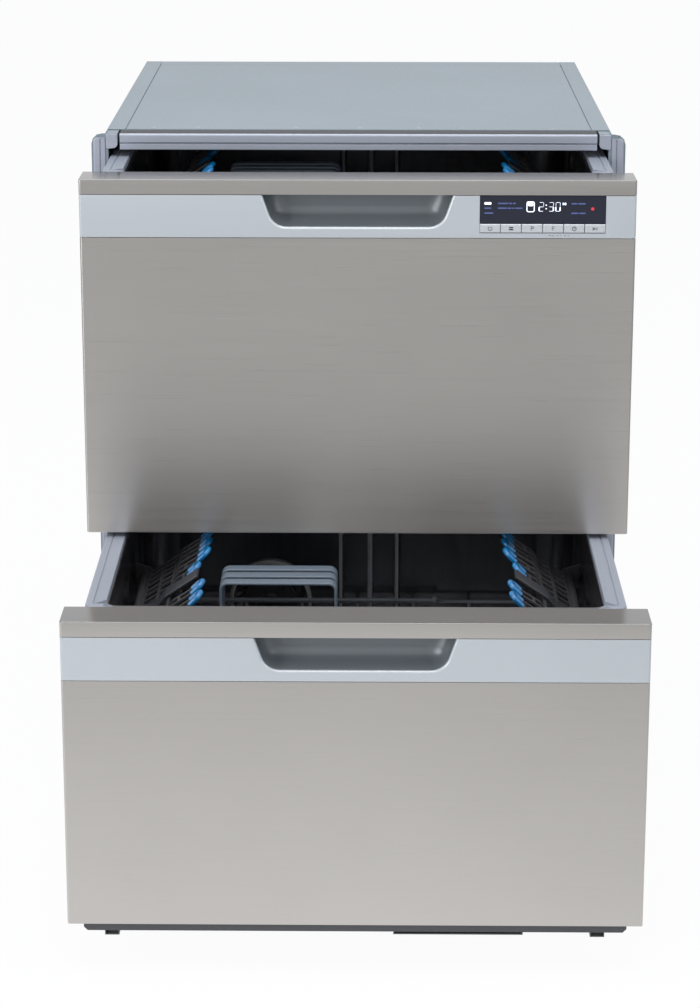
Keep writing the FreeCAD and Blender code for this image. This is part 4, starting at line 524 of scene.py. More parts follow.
@dataclass(frozen=True)
class Finish:
    """One surface finish, made of nodes from its own numbers.

    Attributes:
        name: What a maker would call it.
        colour: Screen colour from 0 to 255.
        slot: Material slot that it stands for; not used.
        metallic: 1 for bare metal.
        roughness: Middle of the roughness.
        spread: How far the fine texture moves the roughness.
        grain: Direction and size of the fine texture.
        depth: How far the fine texture changes the colour.
        cloud: How far a broad, soft texture changes the colour.
        relief: Height of the bump in metres.
        brushed: Whether reflections stretch across the grain.
        coat: Weight of a clear coat.
        glow: Strength of its own light.
    """

    name: str
    colour: tuple[int, int, int]
    slot: str
    metallic: float = 0.0
    roughness: float = 0.5
    spread: float = 0.06
    grain: Grain = Grain.MOULDED
    depth: float = 0.06
    cloud: float = 0.05
    relief: float = 0.00002
    brushed: bool = False
    coat: float = 0.0
    glow: float = 0.0

    def material(self) -> bpy.types.Material:
        """The finish's material, made once.

        Two noises set it: the fine one moves the colour, the roughness and the relief, and the
        broad one multiplies the colour by one plus or minus the cloud.

        Returns:
            The material.
        """
        found = bpy.data.materials.get(self.name)
        if found is not None:
            return found
        material = bpy.data.materials.new(self.name)
        wiring = Wiring(material)
        place = wiring.source("ShaderNodeTexCoord", "Object")
        fine = wiring.noise(place, self.grain.value, FINE_OCTAVES)
        broad = wiring.noise(place, BROAD_SCALE, BROAD_OCTAVES)
        colour = linear(self.colour)
        dark, light = ([min(1.0, part * share) for part in colour[:3]] + [1.0]
                       for share in (1 - self.depth, 1 + self.depth))
        tone = wiring.mixed("MIX", fine, dark, light)
        shade = wiring.ranged(broad, BROAD_RANGE, 1.0, self.cloud)
        relief = {"Strength": 1.0, "Distance": self.relief, "Height": fine}
        values = {
            "Metallic": self.metallic, "Coat Weight": self.coat, "Coat Roughness": COAT_ROUGHNESS,
            "Base Color": wiring.mixed("MULTIPLY", 1.0, tone, shade),
            "Roughness": wiring.ranged(fine, FINE_RANGE, self.roughness, self.spread),
            "Normal": wiring.add("ShaderNodeBump", relief),
        }
        if self.brushed:
            tangent = wiring.add("ShaderNodeTangent", {}, direction_type="UV_MAP", uv_map="flat")
            values |= {"Anisotropic": BRUSH_STRETCH, "Anisotropic Rotation": BRUSH_TURN,
                       "Tangent": tangent}
        if self.glow:
            values |= {"Emission Color": colour, "Emission Strength": self.glow}
        wiring.feed(wiring["Principled BSDF"], values)
        return material


FRONT_STEEL = Finish("brushed front steel", (197, 194, 191), "front_steel", 1.0, 0.3, 0.03,
                     Grain.BRUSHED, 0.035, 0.015, 0.0000025, True)
# Same brushed steel as the front; its darker colour is painted shade on the top face and the fold.
SHADED_TOP_STEEL = Finish("brushed front steel with painted shade on the top", (140, 139, 140), "front_steel", 1.0, 0.17,
                   0.04, Grain.BRUSHED, 0.06, 0.02, 0.000003, True)
SILVER = Finish("satin silver band", (196, 201, 206), "silver_plastic", 0.25, 0.36, 0.03,
                Grain.MOULDED, 0.02, 0.01, 0.000003, coat=0.15)
# The band's moulding with a slight metallic share; its darker colour than the band is painted
# shade in the handle's recess.
SHADED_POCKET = Finish("handle pocket with painted shade", (122, 128, 133), "silver_plastic", 0.15, 0.3, 0.04,
                Grain.MOULDED, 0.03, 0.01, 0.000004)
CABINET = Finish("galvanised cabinet sheet", (136, 148, 157), "cabinet_sheet", 0.35, 0.42, 0.06,
                 Grain.SHEET, 0.04, 0.03, 0.00002)
RAIL_LIGHT = Finish("satin front rail", (164, 169, 181), "cabinet_sheet", 0.3, 0.5, 0.05,
                    Grain.BRUSHED, 0.04, 0.02, 0.000005)
RAIL_DARK = Finish("shaded top of the front rail", (40, 43, 50), "cabinet_sheet", 0.2, 0.5,
                   0.05, Grain.BRUSHED, 0.04, 0.02, 0.000005)
KICK = Finish("dark kick strip", (80, 81, 85), "cabinet_sheet", 0.2, 0.5, 0.05, Grain.SHEET,
              0.05, 0.04)
TUB = Finish("drawn tub steel", (136, 136, 139), "tub_steel", 1.0, 0.22, 0.04, Grain.DRAWN,
             0.04, 0.05, 0.000003)
# Lighter, less metallic copy of the tub steel: a painted highlight along the crests of the rear
# flutes.
CREST_HIGHLIGHT = Finish("painted highlight on the tub's flute crests", (196, 196, 200), "tub_steel", 0.35, 0.3, 0.04,
               Grain.DRAWN, 0.04, 0.05, 0.000003)
RIM = Finish("blue grey rim", (148, 154, 166), "rim_plastic", 0.1, 0.42, 0.04, Grain.MOULDED,
             0.03, 0.02)
# Nylon coated wire; its colour is lightened past the coating's own grey as a painted highlight,
# since the wires are lit weakly in the tub.
WIRE_WITH_HIGHLIGHT = Finish("nylon coated wire", (150, 154, 161), "rack_wire", 0.1, 0.38, 0.05,
              Grain.COARSE, 0.05, 0.04)
SHELF = Finish("dark grey shelf moulding", (58, 57, 60), "shelf_plastic", 0.0, 0.4, 0.05,
               Grain.MOULDED, 0.06, 0.04)
PADDLE = Finish("grey shelf arm", (52, 53, 59), "shelf_plastic", 0.0, 0.42, 0.05,
                Grain.MOULDED, 0.05, 0.03)
SOFT_BLUE = Finish("blue soft tips", (0, 110, 168), "shelf_plastic", 0.0, 0.3, 0.04,
                   Grain.MOULDED, 0.06, 0.05, coat=0.12)
STRAP = Finish("blue grey basket strap", (100, 111, 124), "grey_plastic", 0.0, 0.42, 0.04,
               Grain.MOULDED, 0.04, 0.03)
BASKET = Finish("dark grey basket", (70, 76, 88), "grey_plastic", 0.0, 0.48, 0.05,
                Grain.MOULDED, 0.05, 0.04)
CHROME = Finish("bright vent ring", (222, 219, 214), "tub_steel", 0.4, 0.16, 0.03,
                Grain.DRAWN, 0.03, 0.02, 0.000003)
BLACK = Finish("black moulding", (30, 31, 34), "dark_plastic", 0.0, 0.45, 0.06, Grain.COARSE,
               0.1, 0.05)
GREY = Finish("grey moulding", (150, 156, 164), "grey_plastic", 0.0, 0.46, 0.05,
              Grain.COARSE, 0.05, 0.04)
WHITE = Finish("white moulding", (214, 214, 210), "white_plastic", 0.0, 0.42, 0.05,
               Grain.COARSE, 0.03, 0.03)
LINER = Finish("light liner moulding", (186, 189, 194), "liner_plastic", 0.0, 0.48, 0.05,
               Grain.COARSE, 0.04, 0.03, 0.00003)
ZINC = Finish("zinc plated runner steel", (176, 180, 186), "runner_steel", 0.95, 0.32, 0.08,
              Grain.SHEET, 0.06, 0.05, 0.00001)
RUBBER = Finish("seal rubber", (34, 34, 36), "seal_rubber", 0.0, 0.7, 0.08, Grain.COARSE,
                0.1, 0.05, 0.00003)
GLASS = Finish("dark display glass", (44, 46, 58), "window_gloss", 0.0, 0.14, 0.02,
               Grain.PLAIN, 0.02, 0.02, 0.000001, coat=0.5)
KEY = Finish("silver key", (196, 199, 204), "button_plastic", 0.1, 0.36, 0.04, Grain.MOULDED,
             0.03, 0.02)
MARK = Finish("grey print", (38, 40, 46), "button_plastic", 0.0, 0.5, 0.03, Grain.PLAIN, 0.02,
              0.01, 0.000001)
LIGHT = Finish("lit white digits", (236, 240, 255), "window_gloss", glow=1.0, depth=0.01,
               cloud=0.01)
DIM = Finish("dim blue labels", (78, 92, 142), "window_gloss", glow=0.26, depth=0.02,
             cloud=0.01)
RED = Finish("red lamp", (190, 46, 62), "window_gloss", glow=0.55, depth=0.02, cloud=0.01)
SCREW = Finish("bright screw steel", (188, 190, 194), "runner_steel", 1.0, 0.26, 0.05,
               Grain.SHEET, 0.05, 0.03, 0.000005)


# Placing and making a piece


@dataclass(frozen=True)
class Bay:
    """Where a drawer stands, and what it carries.

    Attributes:
        name: Name of the drawer.
        out: How far it is out.
        rim: Level of its rim.
        front: Height of its front.
        with_module: Whether its band holds the display and the keys.
    """

    name: str
    out: float
    rim: float
    front: float
    with_module: bool = False

    @property
    def offset(self) -> Array:
        """What to add to a drawer's own millimetres."""
        return np.array([0.0, CENTRE_SHIFT - self.out, self.rim])

    def add(self, piece: str, surface: Surface, finishes: Sequence[Finish], node: str = "",
            body: str = "drawer", **options: float | bool) -> None:
        """Make one of the drawer's pieces; all names go without the drawer's own.

        Args:
            piece: Name of the piece.
            surface: Its surface, in the drawer's millimetres.
            finishes: Its finishes, in the order of the surface's marks.
            node: Node of the model that it stands for.
            body: Body that it moves with.
            options: Further arguments of make().
        """
        replaced = [f"{self.name}_{node}"] if node else []
        make(f"{self.name}_{piece}", surface, finishes, f"{self.name}_{body}", self.offset,
             replaced, **options)


UPPER = Bay("upper", 91.0, 793.0, 398.0, True)
LOWER = Bay("lower", 354.0, 390.0, 334.0)
CABINET_OFFSET = np.array([0.0, CENTRE_SHIFT, 0.0])


def box_uv(mesh: bpy.types.Mesh) -> None:
    """Flat UV map in metres: each face takes the two coordinates across its main direction.

    Args:
        mesh: Mesh that gets the map.
    """
    count = len(mesh.loops)
    places = np.empty(len(mesh.vertices) * 3)
    mesh.vertices.foreach_get("co", places)
    index = np.empty(count, dtype=int)
    mesh.loops.foreach_get("vertex_index", index)
    places = places.reshape(-1, 3)[index]
    normals = np.empty(len(mesh.polygons) * 3)
    mesh.polygons.foreach_get("normal", normals)
    totals = np.empty(len(mesh.polygons), dtype=int)
    mesh.polygons.foreach_get("loop_total", totals)
    main = np.repeat(np.abs(normals.reshape(-1, 3)).argmax(axis=1), totals)
    u = np.where(main == 0, places[:, 1], places[:, 0])
    v = np.where(main == 2, places[:, 1], places[:, 2])
    layer = mesh.uv_layers.new(name="flat")
    layer.data.foreach_set("uv", np.stack([u, v], axis=-1).ravel())


def make(name: str, surface: Surface, finishes: Sequence[Finish], body: str, offset: Array,
         replaces: Sequence[str] = (), wall: float = 0.0, outside: bool = False,
         crease: float = 32.0, step: int = 0) -> bpy.types.Object:
    """Make one piece from its surface and hand it to its body.

    Args:
        name: Name of the piece.
        surface: Its surface, in millimetres.
        finishes: Its finishes, in the order of the surface's marks.
        body: Body that it moves with.
        offset: What to add to the surface's millimetres.
        replaces: Nodes of the model that it stands for.
        wall: Thickness to give to an open skin, in millimetres.
        outside: Whether the wall grows outwards.
        crease: Angle in degrees from which an edge is sharp.
        step: How many finishes further the far side of a wall takes its own.

    Returns:
        The piece.
    """
    mesh = bpy.data.meshes.new(name)
    places = ((surface.points + offset) * MM).astype(np.float32)
    mesh.vertices.add(len(places))
    mesh.vertices.foreach_set("co", places.ravel())
    mesh.loops.add(len(surface.corners))
    mesh.loops.foreach_set("vertex_index", surface.corners.astype(np.int32))
    starts = np.concatenate([[0], np.cumsum(surface.sizes)[:-1]]).astype(np.int32)
    mesh.polygons.add(len(surface.sizes))
    mesh.polygons.foreach_set("loop_start", starts)
    mesh.polygons.foreach_set("loop_total", surface.sizes.astype(np.int32))
    mesh.polygons.foreach_set("material_index", surface.marks.astype(np.int32))
    mesh.update(calc_edges=True)
    mesh.validate()
    tidy = bmesh.new()
    tidy.from_mesh(mesh)
    bmesh.ops.remove_doubles(tidy, verts=tidy.verts, dist=WELD)
    bmesh.ops.dissolve_degenerate(tidy, edges=tidy.edges, dist=SLIVER)
    bmesh.ops.recalc_face_normals(tidy, faces=tidy.faces)
    tidy.to_mesh(mesh)
    tidy.free()
    box_uv(mesh)
    mesh.shade_smooth()
    mesh.set_sharp_from_angle(angle=math.radians(crease))
    piece = bpy.data.objects.new(name, mesh)
    bpy.context.scene.collection.objects.link(piece)
    for finish in finishes:
        mesh.materials.append(finish.material())
    if wall:
        thicken = piece.modifiers.new("wall", "SOLIDIFY")
        thicken.thickness = wall * MM
        thicken.offset = 1.0 if outside else -1.0
        thicken.use_even_offset = True
        thicken.material_offset = step
    even = piece.modifiers.new("even shading", "WEIGHTED_NORMAL")
    even.keep_sharp = True
    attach(piece, body)
    if replaces:
        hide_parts(*replaces)
    LOG.info("made %s with %d faces", name, len(mesh.polygons))
    return piece


# A drawer's front


@dataclass
class DrawerFront:
    """Steel cap, moulded handle band and steel panel of one drawer's front."""

    bay: Bay
    half: float = 299.0
    depth: float = 44.0
    edge: float = 2.5
    cap_fold: float = 0.6
    panel_fold: float = 1.0
    sheet: float = 1.2
    moulding: float = 1.5
    cap: float = 16.5
    band: float = 47.0
    seam: float = 0.35
    pocket_half: float = 102.5
    pocket_height: float = 35.0
    pocket_slope: float = 0.35
    pocket_radius: float = 20.0
    pocket_depth: float = 28.0
    pocket_rise: float = 11.0
    lip: float = 2.6
    scoop: float = 18.5
    module: tuple[float, float, float] = (131.0, 266.5, 41.0)

    def plan(self, inset_by: float) -> Array:
        """Open outline from the left rear round the front to the right rear.

        Args:
            inset_by: How far the outline is drawn in.

        Returns:
            Points in two coordinates.
        """
        half, face = self.half - inset_by, inset_by - self.depth
        corners = np.array([(-half, 0), (-half, face), (half, face), (half, 0)], dtype=float)
        return rounded_path(corners, max(self.edge - inset_by, 0.4))

    def folded_shell(self, open_level: float, closed_level: float, edge: float) -> Surface:
        """Skirt from an open level to a closed one, rounded in over the last few millimetres.

        Args:
            open_level: Level of the open end.
            closed_level: Level of the closed end.
            edge: Radius of the rounding.

        Returns:
            A skin with one open end.
        """
        sign = 1.0 if closed_level > open_level else -1.0
        rise, draw = quarter(edge, 4).T
        insets = np.concatenate([[0.0], draw])
        levels = np.concatenate([[open_level], closed_level - sign * rise])
        rows = np.stack([raised(self.plan(i), z) for i, z in zip(insets, levels)])
        return joined([grid(rows), plate(rows[-1])])

    def pocket_line(self, grow: float, top: float) -> Array:
        """Outline of the handle pocket, open at the top, grown by an amount.

        Args:
            grow: How far the outline grows.
            top: Level of its open ends.

        Returns:
            Points of (x, z).
        """
        level = -self.cap
        bottom = level - self.pocket_height
        upper = self.pocket_half + grow + self.pocket_slope * (top - level)
        lower = self.pocket_half + grow - self.pocket_slope * self.pocket_height
        corners = np.array([(-upper, top), (-lower, bottom - grow), (lower, bottom - grow),
                            (upper, top)])
        return rounded_path(corners, self.pocket_radius + grow, steps=10)

    def band_surface(self) -> Surface:
        """Band with its scooped pocket, which rises behind the cap, and the module's notch.

        The pocket's lip and its rear edge are quarter circles, along which the outline grows
        or shrinks.

        Returns:
            An open skin, with the pocket marked for its darker moulding, which is painted shade in
            the recess.
        """
        top, face = -self.cap - self.seam, -self.depth
        bottom = -self.cap - self.band + self.seam
        behind, rear = face + self.lip + 0.2, self.pocket_depth - self.depth
        rows = [raised(self.pocket_line(grow, top), face + back, "y")
                for grow, back in quarter(self.lip, 6)]
        high = top + self.pocket_rise
        rows += [raised(self.pocket_line(0, top), behind, "y")]
        lips = len(rows)
        rows += [raised(self.pocket_line(0, high), behind + 0.1, "y")]
        rows += [raised(self.pocket_line(-draw, high), rear - rise, "y")
                 for rise, draw in quarter(self.scoop, 6)]
        rows = np.stack(rows)
        # The pocket's walls, back and roof take the darker copy, which is painted shade.
        scoop = joined([grid(rows[:lips]), grid(rows[lips - 1:]).marked(1)])
        back = plate(rows[-1]).marked(1)
        roof = grid(rows[lips:, [0, -1]]).marked(1)
        flat = self.half - self.edge
        lip_line = rows[0][:, [0, 2]][::-1]
        outline = [(-flat, top), (-flat, bottom), (flat, bottom), (flat, top)]
        if self.bay.with_module:
            left, right, drop = self.module
            outline += [(right, top), (right, top - drop), (left, top - drop), (left, top)]
        front = plate(raised(np.concatenate([np.array(outline, dtype=float), lip_line]),
                             face, "y"))
        plan = self.plan(0)
        middle = len(plan) // 2
        sides = [grid(np.stack([raised(part, top), raised(part, bottom)]))
                 for part in (plan[:middle], plan[middle:])]
        return joined([front, scoop, back, roof, *sides])

    def build(self) -> None:
        """Make the front's three outer pieces."""
        cap = self.folded_shell(self.seam - self.cap, 0.0, self.cap_fold)
        wall_faces = len(self.plan(0.0)) - 1
        # The fold and the top face take the darker copy of the steel, which is painted shade.
        cap.marks[wall_faces:] = 1
        self.bay.add("cap_skin", cap, [FRONT_STEEL, SHADED_TOP_STEEL], "front_cap", wall=self.sheet)
        self.bay.add("band_moulding", self.band_surface(), [SILVER, SHADED_POCKET], "handle_band",
                     wall=self.moulding)
        panel = self.folded_shell(-self.cap - self.band - self.seam, -self.bay.front,
                                  self.panel_fold)
        self.bay.add("panel_skin", panel, [FRONT_STEEL], "front_panel", wall=self.sheet)


# Display and keys


@dataclass
class Display:
    """Digits, lamps and labels on the window, and the signs on the keys."""

    bay: Bay = UPPER
    left: float = 131.0
    right: float = 266.5
    top: float = -16.5
    window: float = 31.0
    glass: float = -43.4
    key_face: float = -44.5
    thickness: float = 0.16
    segment: float = 1.25
    lean: float = 0.03
    figures: tuple[tuple[str, float], ...] = (("2", 194.6), ("3", 205.2), ("0", 212.4))
    dots: tuple[float, ...] = (-27.0, -30.9)
    labels: tuple[tuple[float, float, tuple[float, ...]], ...] = (
        (150.4, -25.2, (11.0, 3.4, 3.2)), (150.4, -30.4, (9.6, 4.2, 2.6, 7.6)),
        (136.0, -30.4, (7.4,)), (136.0, -35.8, (9.6,)), (229.2, -25.4, (6.4, 8.0)),
        (229.2, -35.8, (7.6, 6.8)),
    )
    dashes: tuple[tuple[float, float], ...] = (
        (206.5, 2.4), (210.0, 1.6), (215.0, 1.4), (218.0, 1.0), (223.0, 1.8), (226.5, 1.4),
    )
    keys: tuple[str, ...] = ("power", "half_load", "program", "function", "delay", "start")

    def stroke(self, path: Sequence[tuple[float, float]], width: float, level: float,
               closed: bool = False) -> Surface:
        """Thin flat stroke along a path of (x, z) on a level.

        Args:
            path: Points of (x, z).
            width: Width of the stroke.
            level: Y of its middle.
            closed: Whether it returns to its start.

        Returns:
            A closed surface.
        """
        points = raised(np.asarray(path, dtype=float), level, "y")
        section = rectangle(-self.thickness, self.thickness, -width / 2, width / 2)
        return bar(points, section, closed)

    def blot(self, x: float, z: float, width: float, height: float, level: float) -> Surface:
        """Small rectangle with round ends.

        Args:
            x, z: Its middle.
            width, height: Its sides.
            level: Y of its middle.

        Returns:
            A closed surface.
        """
        ring = rounded_ring(x - width / 2, x + width / 2, z - height / 2, z + height / 2,
                            min(width, height) * 0.35, steps=3)
        return slab(ring, level - self.thickness, level + self.thickness, axis="y")

    def digit(self, figure: str, x: float, z: float, width: float, height: float) -> Surface:
        """Seven-segment figure with its lower left corner at x, z.

        Args:
            figure: The figure.
            x, z: Its lower left corner.
            width, height: Its size.

        Returns:
            The lit segments.
        """
        ends = {
            "a": ((0, 2), (1, 2)), "b": ((1, 2), (1, 1)), "c": ((1, 1), (1, 0)),
            "d": ((0, 0), (1, 0)), "e": ((0, 1), (0, 0)), "f": ((0, 2), (0, 1)),
            "g": ((0, 1), (1, 1)),
        }
        lit = {"0": "abcdef", "2": "abged", "3": "abgcd"}[figure]
        strokes = []
        for segment in lit:
            spots = np.array(ends[segment], dtype=float) * [width, height / 2] + [x, z]
            run = (spots[1] - spots[0]) / np.linalg.norm(spots[1] - spots[0])
            spots = np.stack([spots[0] + run * 0.35, spots[1] - run * 0.35])
            spots[:, 0] += (spots[:, 1] - z) * self.lean
            strokes.append(self.stroke(spots, self.segment, self.glass))
        return joined(strokes)

    def words(self, x: float, z: float, runs: Sequence[float], height: float = 1.5) -> Surface:
        """Row of short blots that stands for a label.

        Args:
            x, z: Left end and middle height.
            runs: Width of each blot.
            height: Height of the blots.

        Returns:
            The label.
        """
        blots, place = [], x
        for run in runs:
            blots.append(self.blot(place + run / 2, z, run, height, self.glass))
            place += run + 0.8
        return joined(blots)

    def build(self) -> None:
        """Make the lit marks and the printed signs."""
        lit = [self.digit(figure, x, -33.6, 4.6, 9.6) for figure, x in self.figures]
        lit += [self.blot(202.2, z, 1.3, 1.3, self.glass) for z in self.dots]
        lit += [self.words(219.8, -25.6, (1.1, 1.9), 2.6), self.words(136.0, -25.2, (7.4,), 2.6)]
        ring = rounded_ring(181.6, 189.4, -34.2, -23.4, 1.6, steps=3)
        lit.append(self.stroke(ring, 0.9, self.glass, True))
        lit.append(self.blot(185.5, -26.2, 5.8, 3.8, self.glass))
        dim = [self.words(x, z, runs) for x, z, runs in self.labels]
        surfaces = joined([joined(lit), joined(dim).marked(1),
                           self.blot(252.0, -31.0, 3.4, 3.4, self.glass).marked(2)])
        make("display_marks", surfaces, [LIGHT, DIM, RED], "upper_drawer", self.bay.offset)
        dashes = [self.blot(x, -60.2, width, 0.5, -44.0) for x, width in self.dashes]
        make("band_print", joined(dashes), [MARK], "upper_drawer", self.bay.offset)
        pitch = (self.right - self.left) / len(self.keys)
        for index, key in enumerate(self.keys):
            x = self.left + pitch * (index + 0.5)
            sign = self.sign(key).moved(x=x, z=self.top - self.window - 5.0)
            make("key_sign_" + key, sign, [MARK], "button_" + key, self.bay.offset)

    def sign(self, key: str) -> Surface:
        """Sign of one key, about its middle, from rings, lines and blots.

        Args:
            key: Name of the key.

        Returns:
            The sign.
        """
        arc = np.linspace(math.radians(125), math.radians(415), 20)
        bowl = np.linspace(math.pi / 2, -math.pi / 2, 10)
        loop = np.stack([1.2 * np.cos(bowl) + 0.2, 1.1 * np.sin(bowl) + 1.1], axis=-1)
        rings = {"delay": [circle(2.1, 24)], "start": [[(-2.4, -1.4), (-2.4, 1.4), (-0.4, 0.0)]]}
        lines = {
            "power": [2.1 * np.stack([np.cos(arc), np.sin(arc)], axis=-1), [(0, 0.6), (0, 2.4)]],
            "program": [[(-1.1, -2.3), (-1.1, 2.4)],
                        np.concatenate([[(-1.1, 2.2)], loop, [(-1.1, 0.0)]])],
            "function": [[(-0.9, -2.3), (-0.9, 2.4)], [(-0.9, 2.2), (1.4, 2.2)],
                         [(-0.9, 0.3), (1.0, 0.3)]],
            "delay": [[(0, 0), (0, 1.4)], [(0, 0), (1.0, 0)]],
            "start": [[(0.8, -1.5), (0.8, 1.5)], [(2.0, -1.5), (2.0, 1.5)]],
        }
        blots = {"half_load": (1.1, -1.1)}
        level, width = self.key_face, 0.6
        return joined([self.stroke(path, width, level, True) for path in rings.get(key, [])]
                      + [self.stroke(path, width, level) for path in lines.get(key, [])]
                      + [self.blot(0, z, 4.6, 1.3, level) for z in blots.get(key, ())])


# Wash tub and rim


@dataclass
class WashTub:
    """Deep drawn tub: drafted walls, a wide fillet to the floor, flutes and a square well."""

    bay: Bay
    half: float = 257.0
    front: float = 22.0
    rear: float = 446.0
    deep: float = 275.0
    draft: float = 8.0
    corner: float = 42.0
    front_corner: float = 12.0
    fillet: float = 18.0
    flutes: tuple[float, ...] = (-20.0, 15.0, 47.0)
    flute_width: float = 2.1
    flute_reach: float = 2.4
    wave_pitch: float = 84.0
    wave_start: float = 112.0
    wave_reach: float = 2.4
    wave_power: float = 0.6
    # Share of a flute's reach past which a face takes the painted highlight.
    highlight_share: float = 0.6
    top_fade: tuple[float, float] = (-34.0, 7.0)
    foot_fade: tuple[float, float] = (-250.0, 10.0)
    flange: float = 11.0
    seat: float = -7.4
    roll: tuple[float, float] = (3.2, 3.0)
    well: float = 75.0
    well_depth: float = 14.0
    sheet: float = 1.2
    hanger_places: tuple[float, float] = (60.5, 285.6)
    hanger_half: float = 1.3
    fill: tuple[int, ...] = (300, 60, 10, 60)

    def ring(self, inset_by: float) -> Array:
        """Plan of the tub, drawn in by an amount.

        Args:
            level: The level.

        Returns:
            Points in two coordinates.
        """
        half = self.half - inset_by
        return rounded_ring(-half, half, self.front + inset_by, self.rear - inset_by,
                            max(self.corner - inset_by, 10.0), 9, self.fill,
                            max(self.front_corner - inset_by, 6.0))

    def pressed(self, ring: Array, level: float) -> Array:
        """Ring with the flutes pressed inwards.

        On the rear wall each flute adds its reach times the exponential of minus the fourth
        power of the distance over its width; at both ends it fades by a smooth step. The side
        walls carry broad shallow waves of a raised cosine.

        Args:
            ring: Plan of the tub at a level.
            level: The level.

        Returns:
            The pressed ring.
        """
        (top, over), (foot, under) = self.top_fade, self.foot_fade
        start = np.clip((top - level) / over, 0, 1) * np.clip((level - foot) / under, 0, 1)
        fade = start * start * (3 - 2 * start)
        on_rear = ring[:, 1] > ring[:, 1].max() - 0.01
        push = sum(np.exp(-(((ring[:, 0] - x) / self.flute_width) ** 4)) for x in self.flutes)
        out = ring.copy()
        out[:, 1] -= np.where(on_rear, self.flute_reach * fade * push, 0)
        on_side = np.abs(ring[:, 0]) > np.abs(ring[:, 0]).max() - 0.01
        turn = (ring[:, 1] - self.wave_start) * 2 * math.pi / self.wave_pitch
        wave = np.maximum(np.cos(turn), 0) ** self.wave_power
        out[:, 0] -= np.sign(ring[:, 0]) * np.where(on_side, self.wave_reach * fade * wave, 0)
        return out

    def surface(self) -> Surface:
        """Inner skin from the flange down to the well.

        The plan draws in with depth by the draft's share; the edge under the flange and the
        foot of the walls are quarter circles.

        Returns:
            An open skin, with the crests of the rear flutes marked for a painted highlight.
        """
        wide, seat = self.flange, self.seat
        edge = rounded_ring(-self.half - wide, self.half + wide, self.front - wide,
                            self.rear + wide, self.corner + wide, 9, self.fill, 12.0)
        rows = [raised(edge, seat), raised(self.ring(-3.0), seat)]
        rows += [raised(self.ring(0.3 - grow), seat - drop)
                 for grow, drop in quarter(1.0, 4) * self.roll]
        foot = -self.deep + self.fillet
        levels = [np.linspace(-14, -44, 11), np.linspace(-60, -230, 9), np.linspace(-236, foot, 5)]
        for level in np.concatenate(levels):
            draw = self.draft * -level / self.deep
            rows.append(raised(self.pressed(self.ring(draw), level), level))
        last = self.draft * -foot / self.deep
        rows += [raised(self.ring(last + draw), rise - self.deep)
                 for rise, draw in quarter(self.fillet, 7)[1:]]
        middle = (self.front + self.rear) / 2
        edge = rounded_ring(-self.well, self.well, middle - self.well, middle + self.well, 24.0,
                            9, self.fill)
        floor = self.ring(last + self.fillet)
        rows += [raised(floor + (inset(edge, -3.0) - floor) * share, -self.deep)
                 for share in (0.25, 0.5, 0.75, 1.0)]
        rows += [raised(edge, -self.deep - 3.0), raised(edge, -self.deep - self.well_depth)]
        rows = np.stack(rows)
        surface = skin(rows, first=False)
        plain = np.stack([self.ring(self.draft * -z / self.deep)[:, 1] for z in rows[:, 0, 2]])
        tall = (rows[..., 2] < -20) & (rows[..., 2] > -self.deep + self.fillet)
        # Faces pressed in past this share of the reach take the painted highlight.
        painted_crest = (plain - rows[..., 1] > self.highlight_share * self.flute_reach) & tall
        surface.marks[:-1] = painted_crest[:-1].ravel().astype(int)
        return surface

    def build(self) -> None:
        """Make the tub, its sump cup and the shelves' hangers."""
        # The crests take the painted highlight inside; the wall's far side takes plain tub steel.
        self.bay.add("tub_skin", self.surface(), [TUB, CREST_HIGHLIGHT, TUB, TUB], "tub", wall=self.sheet,
                     outside=True, crease=40.0, step=2)
        middle = (self.front + self.rear) / 2
        cup = lathe([(46, 0), (46.8, 0), (47.2, -2), (47.2, -31), (44, -34.2), (1, -34.2),
                     (1, -33), (43.5, -33), (46, -30.5)],
                    (0, middle, -self.deep - self.well_depth), sides=40)
        self.bay.add("sump_cup", cup, [TUB])
        outline = rounded_path(np.array([(232, -76), (257, -84), (257, -52), (232, -60)]),
                               (6.0, 0.0, 0.0, 6.0), closed=True)
        half = self.hanger_half
        hangers = [slab(outline, y - half, y + half, 0.5, "y") for y in self.hanger_places]
        hangers.append(lathe([(3, 0), (3, 226)], (240, 60, -68), "y", 16))
        hangers += [hanger.flipped_x() for hanger in hangers]
        self.bay.add("shelf_hangers", joined(hangers), [SHELF])


